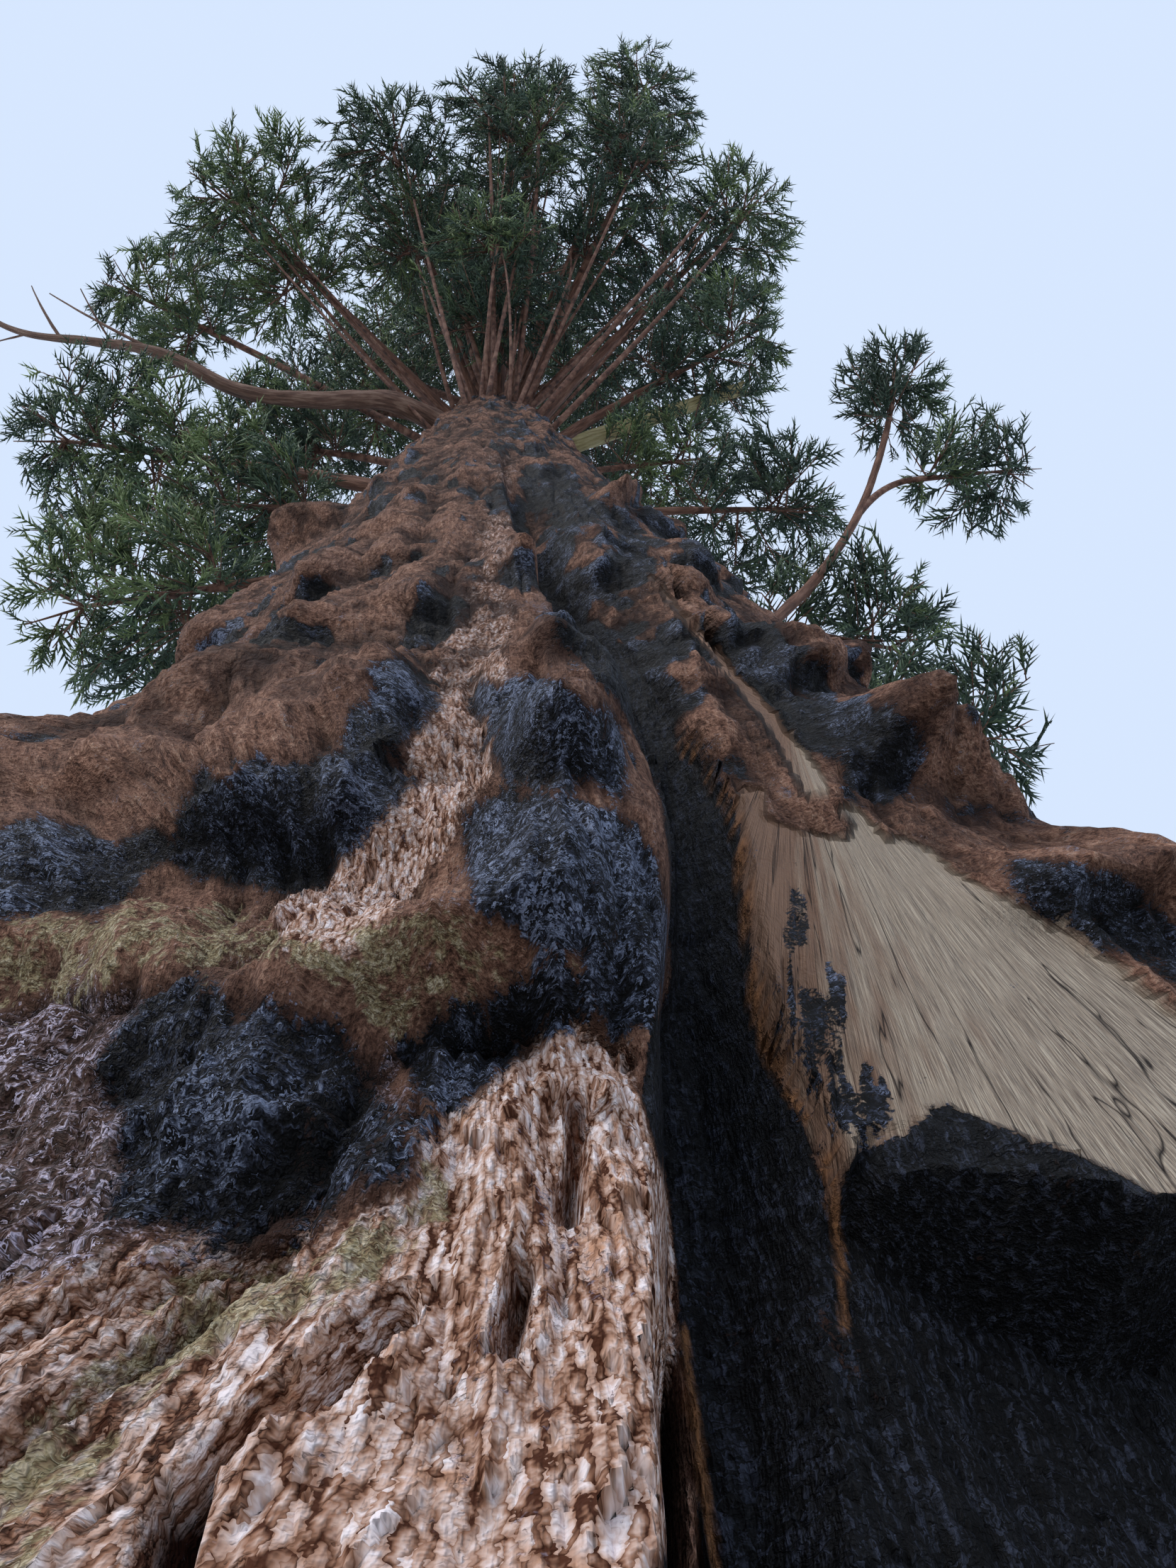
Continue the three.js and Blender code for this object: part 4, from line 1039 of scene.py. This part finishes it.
def mass_space(name, azimuth, reach, height, size, tilt, bend=None):
    middle = place(azimuth, reach, height)
    tilt = math.radians(tilt)
    axis = place(azimuth, math.cos(tilt), math.sin(tilt)) if bend is None else unit(middle - bend)
    side, up = crossways(axis)
    return {"name": name, "azimuth": azimuth, "size": size, "middle": middle, "axis": axis, "side": side,
            "up": up, "radii": size * np.array([1, 0.95, 0.8]), "entry": middle - axis * size * 0.86,
            "stem_end": middle + axis * size * 0.5}


masses, bough_lines = [], {}
for name, azimuth, reach, height, size, foot_height, tilt, foot_azimuth in BOUGHS:
    bend = SPARSE_BEND if name == "right_sparse" else None
    mass = mass_space(name, azimuth, reach, height, size, tilt, bend)
    foot = place(foot_azimuth, 0.6 * plain_radius(float(foot_azimuth), foot_height), foot_height)
    if bend is None:
        bend = mass["entry"] - mass["axis"] * 0.45 * np.linalg.norm(mass["entry"] - foot)
    bough_lines[name] = bent_line(foot, bend, mass["entry"])
    thickness = 0.085 * size + 0.03
    mass.update(foot=mass["entry"], stem=(thickness * 0.36, thickness * 0.16), bough=thickness)
    masses.append(mass)
for name, azimuth, reach, height, size, tilt, foot_height in STEMMED:
    mass = mass_space(name, azimuth, reach, height, size, tilt)
    level = foot_height if foot_height is not None else height - 0.62 * reach
    foot = place(azimuth, 0.6 * column_radius(level), level)
    mass.update(foot=foot, stem=(0.065 * size * 0.6, 0.065 * size * 0.22))
    masses.append(mass)
side_mass = mass_space("right_side", 86, 5.75, 15.0, 0.88, 5)
side_mass.update(foot=bough_lines["right_sparse"](np.array([0.72]))[0], stem=(0.035, 0.014))
top_mass = mass_space("top", 0, 0.0, 38.45, 1.55, 90)
top_mass.update(foot=np.array([0, 0, TRUNK_TOP - 0.2]), stem=(0.09, 0.035))
masses += [side_mass, top_mass]
print(len(masses), "masses of foliage on", len(bough_lines), "boughs")

# %% Bough pieces
bough_pieces = []
for number, mass in enumerate(m for m in masses if "bough" in m):
    name, thick = mass["name"], mass["bough"]
    piece = ringed_cylinder(f"bough_{name}_bark", 20, 56)
    bend_cylinder(piece, bough_lines[name], thick * 0.62, thick * 0.34, 40 + 3 * number, 0.34, 0.7)
    bough_pieces.append(finished(piece, "bough_bark", "bough_" + name))
print(len(bough_pieces), "boughs")

# %% [markdown]
# ## The dead bough and the broken stub
# A long dead bough reaches out to the left, dips, and rises to a bare grey tip with a few bare twigs. On
# the right a stub is broken off short. Both are bent cylinders too; the stub's end face is jagged, as torn
# wood is.

# %% Dead bough, bare twigs and stub
DEAD_LINE = through([place(*row) for row in (
    (-46, 0.7, 19.6), (-56, 1.75, 19.35), (-67, 2.7, 18.75), (-71, 3.7, 18.55),
    (-70, 4.9, 19.0), (-72, 5.9, 19.45), (-74, 7.1, 19.9), (-73, 8.3, 20.6))])
dead_bough = ringed_cylinder("dead_bough_wood", 18, 110)
dead_pieces = [bend_cylinder(dead_bough, DEAD_LINE, 0.150, 0.028, 90, 0.3, 0.35)]
DEAD_TWIGS = [(0.58, -66, 1.25, 2.3), (0.78, -40, 0.90, 1.3), (0.90, -95, -0.70, 1.2),
              (0.50, -100, 0.35, 0.8), (0.68, -30, 0.30, 0.9), (0.84, -100, 0.55, 0.9)]
for number, (share, azimuth, rise, length) in enumerate(DEAD_TWIGS):
    root = DEAD_LINE(np.array([share]))[0]
    end = root + place(azimuth, math.sqrt(length**2 - rise**2), rise)
    bend = (root + end) / 2 - np.array([0, 0, 0.12 * length])
    thick = 0.030 if number < 3 else 0.018
    twig = ringed_cylinder(f"dead_twig_{number + 1}", 8, 24)
    bend_cylinder(twig, bent_line(root, bend, end), thick, 0.008, 120 + 3 * number, 0.4)
    dead_pieces.append(twig)
finished(dead_pieces[0], "bough_bark", "dead_bough_inner", "dead_bough_outer")
for piece in dead_pieces[1:]:
    finished(piece, "bough_bark")
stub = ringed_cylinder("broken_stub_wood", 28, 70)
stub_foot, stub_end = place(80, 0.6 * column_radius(19.7), 19.7), place(75, 4.15, 20.5)
stub_line = bent_line(stub_foot, (stub_foot + stub_end) / 2, stub_end)
bend_cylinder(stub, stub_line, 0.130, 0.105, 150, 0.22, 0.4, 0.35)
finished(stub, "bare_wood", "broken_stub")
print(len(dead_pieces), "pieces of the dead bough, and a stub")

# %% Limb materials
def limb_material(name, depth, dark, middle, light):
    """Bark or wood with fibres along the limb, which are depth metres high."""
    finish = Finish(name)
    along = finish.attribute("along", "Vector")
    fibre = finish.noise(finish.mapped(along, (1, 1, 0.12)), 26.0, 6, 0.65)
    tone = fibre * 0.75 + finish.noise(along, 2.2, 3) * 0.25
    finish.give("Base Color", finish.ramp(tone, tones((0.32, *dark), (0.5, *middle), (0.68, *light))))
    finish.give("Roughness", 0.85)
    finish.bump(fibre * depth)
    return finish.material


LIMBS = [
    (bough_pieces, "bough_bark", 0.05, (0.20, 0.12, 0.09), (0.42, 0.28, 0.22), (0.58, 0.44, 0.37)),
    (dead_pieces, "dead_bark", 0.04, (0.22, 0.15, 0.13), (0.44, 0.33, 0.28), (0.62, 0.52, 0.46)),
    ([stub], "bare_wood", 0.05, (0.46, 0.40, 0.28), (0.70, 0.65, 0.47), (0.84, 0.80, 0.64)),
]
for pieces, *look in LIMBS:
    material = limb_material(*look)
    for piece in pieces:
        piece.data.materials.append(material)
print("limbs are finished")

# %% [markdown]
# ## Growing the foliage
# Each mass of the solid model is a space that its twigs may fill: an ellipsoid, shared out where it meets
# its neighbours. The twigs leave the stem on a spiral, carry side twigs, and those carry the sprays.
# Everything is grown by rule from the limb outwards, so nothing floats, and every twig stops where its own
# space ends.

# %% Spaces of the masses
MIDDLES = np.array([m["middle"] for m in masses])
FRAMES = np.array([[m["axis"], m["side"], m["up"]] for m in masses])
RADII = np.array([m["radii"] for m in masses])
GOLDEN_ANGLE = math.pi * (3 - math.sqrt(5))


def in_cell(points, own, slack=0.0):
    off = points[:, None, :] - MIDDLES[None]
    outness = np.linalg.norm(np.einsum("nmj,mij->nmi", off, FRAMES) / RADII[None], axis=2)
    mine = outness[:, own].copy()
    outness[:, own] = np.inf
    return (mine <= 1 + slack) & (outness.min(axis=1) > mine + 0.03 - slack)


def room_along(points, directions, own):
    step = masses[own]["size"] / 24
    room = np.zeros(len(points))
    growing = np.ones(len(points), bool)
    for _ in range(60):
        growing = growing.copy()
        tips = points[growing] + directions[growing] * (room[growing] + step)[:, None]
        growing[growing] = in_cell(tips, own)
        if not growing.any():
            break
        room[growing] += step
    return room


print("spaces of", len(masses), "masses")

# %% Twigs and sprays by rule
chance = np.random.default_rng(40)
# the place along a twig, and how far a spray may lean out from it
SPRAYS_ON_TWIG = [(0.35, 0.7, 1.2), (0.55, 0.6, 1.1), (0.72, 0.5, 1.0), (0.86, 0.5, 0.9), (0.97, 0.4, 0.8),
                  (0.99, 0.0, 0.4)]


def leaning(directions, turn, lean, lift=0.0):
    side, up = crossways(directions)
    out = side * np.cos(turn)[:, None] + up * np.sin(turn)[:, None]
    return unit(directions + out * lean + np.array([0, 0, lift]))


def grow(own):
    """The twigs of a mass as (start, end, thickness) and its sprays as (root, direction, length)."""
    mass = masses[own]
    size, axis = mass["size"], mass["axis"]
    stem = mass["stem_end"] - mass["entry"]
    count = 3 * round(1.6 + size / 1.05)
    i = np.arange(count)
    share = (i + 0.5) / count
    roots = mass["entry"] + (0.1 + 0.8 * share)[:, None] * stem
    turn = (i - 1) * GOLDEN_ANGLE / 3 + math.radians(mass["azimuth"])
    out = mass["side"] * np.cos(turn)[:, None] + mass["up"] * np.sin(turn)[:, None]
    directions = unit(out + axis * (-0.4 + share)[:, None])
    ends = np.repeat(mass["stem_end"][None], 4, 0)
    roots = np.vstack([roots, ends])
    from_tip = leaning(np.repeat(axis[None], 4, 0), np.arange(4) * 1.6, 0.7)
    directions = np.vstack([directions, from_tip])
    room = room_along(roots, directions, own) * 0.92
    keep = room > 0.15 * size
    roots, directions, room = roots[keep], directions[keep], room[keep]
    twigs = [(roots, roots + directions * room[:, None], 0.014 * size * np.ones(len(roots)))]

    # evenly strewn points in the mass's space, each reached by a side twig from the nearest twig behind it
    on_twig = np.linspace(0.1, 0.95, 10)
    bones = (roots[:, None] + directions[:, None] * (room[:, None] * on_twig)[..., None]).reshape(-1, 3)
    bone_directions = np.repeat(directions, len(on_twig), axis=0)
    on_stem = mass["entry"] + np.linspace(0.15, 1, 8)[:, None] * stem
    bones = np.vstack([bones, on_stem])
    bone_directions = np.vstack([bone_directions, np.repeat(axis[None], 8, 0)])
    closer = 1.08 if mass["name"].startswith(("front", "left", "right")) else 1.0
    spacing = (0.052 * size) ** (1 / 3) / closer
    steps = np.arange(-size, size + spacing, spacing)
    strewn = np.stack(np.meshgrid(steps, steps, steps, indexing="ij"), -1).reshape(-1, 3)
    strewn = strewn + chance.uniform(-0.48, 0.48, strewn.shape) * spacing
    strewn = mass["middle"] + strewn @ FRAMES[own]
    level = np.clip(strewn[:, 2], 0, 39.9)
    clear = (np.hypot(strewn[:, 0], strewn[:, 1]) > column_radius(level) + 0.3) | (strewn[:, 2] > TRUNK_TOP)
    strewn = strewn[in_cell(strewn, own, -0.03) & clear]
    gap = strewn[:, None] - bones[None]
    distance = np.linalg.norm(gap, axis=2)
    ahead = np.einsum("nbj,bj->nb", gap, bone_directions) / np.maximum(distance, 1e-6)
    pick = np.argmin(distance * (1.7 - 0.9 * ahead), axis=1)
    side_roots = bones[pick]
    keep = np.linalg.norm(strewn - side_roots, axis=1) > 0.07
    side_roots, side_ends = side_roots[keep], strewn[keep]
    side_room = np.linalg.norm(side_ends - side_roots, axis=1)
    side_directions = unit(side_ends - side_roots)
    twigs.append((side_roots, side_ends, 0.007 + 0.004 * side_room))

    spray_roots, spray_directions, spray_lengths = [], [], []
    for at, low, high in SPRAYS_ON_TWIG:
        turn = chance.uniform(0, 6.3, len(side_roots))
        lean = chance.uniform(low, high, (len(side_roots), 1))
        spray_roots.append(side_roots + side_directions * (side_room * at)[:, None])
        spray_directions.append(leaning(side_directions, turn, lean, 0.10))
        spray_lengths.append(chance.uniform(0.24, 0.46, len(side_roots)))
    spray_roots, spray_directions = np.vstack(spray_roots), np.vstack(spray_directions)
    spray_lengths = np.concatenate(spray_lengths)
    tips = spray_roots + spray_directions * spray_lengths[:, None]
    level = np.clip(tips[:, 2], 0, 39.9)
    clear = (np.hypot(tips[:, 0], tips[:, 1]) > column_radius(level) + 0.15) | (tips[:, 2] > TRUNK_TOP)
    keep = in_cell(tips, own, 0.12) & clear
    return twigs, (spray_roots[keep], spray_directions[keep], spray_lengths[keep])


grown = [grow(own) for own in range(len(masses))]
twig_count = sum(len(t[0]) for twigs, _ in grown for t in twigs)
print(sum(len(sprays[0]) for _, sprays in grown), "sprays on", twig_count, "twigs")

# %% Joined meshes from arrays
def joined(name, points, faces):
    mesh = bpy.data.meshes.new(name)
    mesh.vertices.add(len(points))
    mesh.vertices.foreach_set("co", np.ascontiguousarray(points, dtype=np.float32).ravel())
    mesh.loops.add(faces.size)
    mesh.loops.foreach_set("vertex_index", np.ascontiguousarray(faces, dtype=np.int32).ravel())
    mesh.polygons.add(len(faces))
    mesh.polygons.foreach_set("loop_start", np.arange(0, faces.size, faces.shape[1], dtype=np.int32))
    mesh.polygons.foreach_set("loop_total", np.full(len(faces), faces.shape[1], dtype=np.int32))
    mesh.update(calc_edges=True)
    piece = bpy.data.objects.new(name, mesh)
    scene.collection.objects.link(piece)
    return piece


def tubes(lines, radii, sides):
    """Many thin closed tubes at once: lines is (count, rings, 3) and radii (count, rings)."""
    count, rings = radii.shape
    ahead = np.diff(lines, axis=1)
    direction = unit(np.concatenate([ahead, ahead[:, -1:]], axis=1))
    side, up = crossways(direction)
    turn = np.arange(sides) / sides * 2 * math.pi
    ring = side[:, :, None] * np.cos(turn)[:, None] - up[:, :, None] * np.sin(turn)[:, None]
    points = lines[:, :, None] + ring * radii[:, :, None, None]
    k, s = np.meshgrid(np.arange(rings - 1), np.arange(sides), indexing="ij")
    a, b = (k * sides + s).ravel(), (k * sides + (s + 1) % sides).ravel()
    walls = np.concatenate([np.stack([a, b, b + sides], 1), np.stack([a, b + sides, a + sides], 1)])
    fan = np.arange(1, sides - 1)
    last = (rings - 1) * sides
    first_cap = np.stack([0 * fan, fan + 1, fan], 1)
    last_cap = last + np.stack([0 * fan, fan, fan + 1], 1)
    faces = np.concatenate([walls, first_cap, last_cap])
    faces = (faces[None] + np.arange(count)[:, None, None] * rings * sides).reshape(-1, 3)
    return points.reshape(-1, 3), faces


def heap(parts):
    """Several (points, faces) pairs as one."""
    offset, points, faces = 0, [], []
    for p, f in parts:
        points.append(p)
        faces.append(f + offset)
        offset += len(p)
    return np.concatenate(points), np.concatenate(faces)


def curved(starts, ends, rings, sag):
    """Lines from starts to ends with a bend, as (count, rings, 3)."""
    t = np.linspace(0, 1, rings)[None, :, None]
    length = np.linalg.norm(ends - starts, axis=1)[:, None, None]
    wave = sag * length * np.sin(np.pi * t) * np.array([0, 0, -1.0])
    return starts[:, None] + (ends - starts)[:, None] * t + wave


print("joined meshes are ready")

# %% Twig pieces
GROUPS = {"front": ("front_",), "left": ("left_",), "right": ("right_",), "back": ("back_",),
          "upper": ("tier_", "top")}
twig_pieces = []
for group, starts in GROUPS.items():
    parts = []
    for own, mass in enumerate(masses):
        if not mass["name"].startswith(starts):
            continue
        thick, thin = mass["stem"]
        if mass["foot"] is not mass["entry"] and mass["name"] != "top":
            bend = mass["entry"] - mass["axis"] * 0.3 * np.linalg.norm(mass["entry"] - mass["foot"])
            lower = bent_line(mass["foot"], bend, mass["entry"])(np.linspace(0, 1, 14))[None]
            parts.append(tubes(lower, np.linspace(thick * 1.3, thick, 14)[None], 9))
            stem_start = mass["entry"]
        else:
            stem_start = mass["foot"]
        stem = curved(stem_start[None], mass["stem_end"][None], 8, 0.0)
        parts.append(tubes(stem, np.linspace(thick, thin, 8)[None], 8))
        (roots, ends, thickness), (side_roots, side_ends, side_thickness) = grown[own][0]
        parts.append(tubes(curved(roots, ends, 6, 0.02), thickness[:, None] * np.linspace(1, 0.35, 6), 5))
        side_radii = side_thickness[:, None] * np.linspace(1, 0.5, 3)
        parts.append(tubes(curved(side_roots, side_ends, 3, 0.03), side_radii, 3))
    piece = joined(f"twigs_{group}", *heap(parts))
    twig_pieces.append(piece)
    print(piece.name, len(piece.data.polygons), "faces")

# %% [markdown]
# ## Sprays of leaves
# Up close a sequoia leaf is a scale a few millimetres long, wrapped round its twig. From the ground the eye
# sees the cord-like sprays instead, so one spray is modelled as a handful of pointed cords that branch off
# a middle one, and each is a closed spike of four faces. Every spray of the crown is a turned and stretched
# copy of one of a few patterns, with its own mesh corners.

# %% Spray patterns
def spike(start, end, width):
    """A pointed cord of four faces, which point outwards."""
    start, end = np.array(start, float), np.array(end, float)
    side, up = crossways(unit(end - start))
    ring = [start + width * (side * math.cos(a) - up * math.sin(a)) for a in (0.5, 2.6, 4.7)]
    return np.array([*ring, end]), np.array([(0, 2, 1), (3, 0, 1), (3, 1, 2), (3, 2, 0)])


def spray_pattern(seed, side_cords, width):
    pick = np.random.default_rng(seed)
    parts = [spike((0, 0, 0), (1, 0, 0.02), width)]
    for k in range(side_cords):
        at = 0.10 + 0.62 * k / (side_cords - 1)
        way = 1 if k % 2 else -1
        reach = pick.uniform(0.30, 0.50) * (1 - 0.25 * at)
        end = (at + reach * 0.85, way * reach * pick.uniform(0.5, 0.8), pick.uniform(-0.22, 0.22))
        parts.append(spike((at, 0, 0.01), end, width * 0.95))
    return heap(parts)


FINE_SPRAYS = [spray_pattern(seed, 7, 0.042) for seed in (1, 2, 3, 4)]  # where the camera is nearer
PLAIN_SPRAYS = [spray_pattern(seed, 4, 0.056) for seed in (5, 6, 7, 8)]
print(len(FINE_SPRAYS[0][1]), "faces in a fine spray,", len(PLAIN_SPRAYS[0][1]), "in a plain one")

# %% Deal the sprays out by tint
TINTS = {
    "deep": linear(0.21, 0.30, 0.25),
    "middle": linear(0.30, 0.39, 0.29),
    "bright": linear(0.43, 0.51, 0.33),
}


def leaf_material(name, colour):
    finish = Finish(name)
    at = finish.add("ShaderNodeTexCoord", {}, "Object")
    shade = finish.noise(at, 1.6, 3) * 0.7 + finish.noise(at, 30, 3) * 0.3
    dark, light = ((*(strength * c for c in colour[:3]), 1.0) for strength in (0.6, 1.5))
    finish.give("Base Color", finish.ramp(shade, [(0.35, dark), (0.5, colour), (0.68, light)]))
    finish.give("Roughness", 0.6)
    finish.bump(finish.noise(at, 120, 2) * 0.006)
    return finish.material


leaf_materials = {tint: leaf_material(f"leaves_{tint}", colour) for tint, colour in TINTS.items()}


def sprays_mesh(patterns, roots, directions, lengths, turns):
    side, up = crossways(directions)
    across = side * np.cos(turns)[:, None] + up * np.sin(turns)[:, None]
    thin = np.cross(directions, across)
    parts = []
    for which, (points, faces) in enumerate(patterns):
        mine = np.arange(len(roots)) % len(patterns) == which
        turned = sum(points[None, :, k, None] * way[mine, None]
                     for k, way in enumerate((directions, across, thin)))
        moved = roots[mine, None] + turned * lengths[mine, None, None]
        count = int(mine.sum())
        offsets = np.arange(count)[:, None, None] * len(points)
        parts.append((moved.reshape(-1, 3), (faces[None] + offsets).reshape(-1, 3)))
    return heap(parts)


for group, starts in GROUPS.items():
    own = [k for k, mass in enumerate(masses) if mass["name"].startswith(starts)]
    roots = np.vstack([grown[k][1][0] for k in own])
    directions = np.vstack([grown[k][1][1] for k in own])
    lengths = np.concatenate([grown[k][1][2] for k in own])
    turns = chance.uniform(0, 6.3, len(roots))
    sunny = 0.5 * waves(roots.T, 0.8, 0.8, 60) + chance.uniform(0, 0.35, len(roots))
    sunny = sunny + 0.10 * smooth(0.5, -5.0, roots[:, 0]) + 0.06 * smooth(28, 36, roots[:, 2])
    dealt = np.digitize(sunny, (0.42, 0.60))
    nodes = ["foliage_" + masses[k]["name"] for k in own]
    for number, tint in enumerate(TINTS):
        mine = dealt == number
        patterns = FINE_SPRAYS if group in ("front", "left", "right") else PLAIN_SPRAYS
        piece = joined(f"leaves_{group}_{tint}",
                       *sprays_mesh(patterns, roots[mine], directions[mine], lengths[mine], turns[mine]))
        piece.data.materials.append(leaf_materials[tint])
        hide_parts(*nodes)
        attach(piece, "root")
        print(piece.name, len(piece.data.polygons), "faces")

# %% Twig finish
twig_bark = Finish("twig_bark")
at = twig_bark.add("ShaderNodeTexCoord", {}, "Object")
twig_bark.give("Base Color", twig_bark.ramp(twig_bark.noise(at, 9, 4), tones(
    (0.35, 0.22, 0.14, 0.11), (0.5, 0.40, 0.27, 0.22), (0.68, 0.52, 0.40, 0.34))))
twig_bark.give("Roughness", 0.8)
twig_bark.bump(twig_bark.noise(at, 60, 3) * 0.01)
for piece, (group, starts) in zip(twig_pieces, GROUPS.items()):
    piece.data.materials.append(twig_bark.material)
    piece.data.polygons.foreach_set("use_smooth", [True] * len(piece.data.polygons))
    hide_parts(*["foliage_" + m["name"] for m in masses if m["name"].startswith(starts)])
    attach(piece, "root")
print("the twigs are finished")

# %% [markdown]
# ## Thin shoots
# Where the crown begins, dozens of thin shoots leave the burnt trunk and fan out into the foliage. Each
# starts inside the bark and ends on a twig that is already there.

# %% Shoots
shoot_lines, shoot_radii = [], []
front_masses = [k for k, m in enumerate(masses) if m["name"] in (
    "front_left", "front_middle", "front_right", "front_inner", "right_near", "left_high", "front_high")]
for number in range(34):
    own = front_masses[number % len(front_masses)]
    roots, ends, _ = grown[own][0][0]
    pick = int(chance.integers(len(roots)))
    end = roots[pick] + (ends[pick] - roots[pick]) * chance.uniform(0.3, 0.6)
    azimuth = masses[own]["azimuth"] + chance.uniform(-22, 22)
    level = chance.uniform(18.2, 21.8)
    foot = place(azimuth, 0.8 * column_radius(level), level)
    bend = (foot + end) / 2 + place(azimuth, chance.uniform(0.1, 0.9), chance.uniform(-1.0, -0.1))
    shoot_lines.append(bent_line(foot, bend, end)(np.linspace(0, 1, 16)))
    shoot_radii.append(np.linspace(1, 0.3, 16) * chance.uniform(0.025, 0.055))
shoots = joined("shoots", *tubes(np.array(shoot_lines), np.array(shoot_radii), 7))
shoots.data.materials.append(twig_bark.material)
shoots.data.polygons.foreach_set("use_smooth", [True] * len(shoots.data.polygons))
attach(shoots, "root")
print(len(shoot_lines), "shoots")

# %% Print the sizes and finish
visual_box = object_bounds()
plain = [[list(map(float, corner)) for corner in box] for box in (cad_box, visual_box)]
print("CAD box", plain[0], "visual box", plain[1])
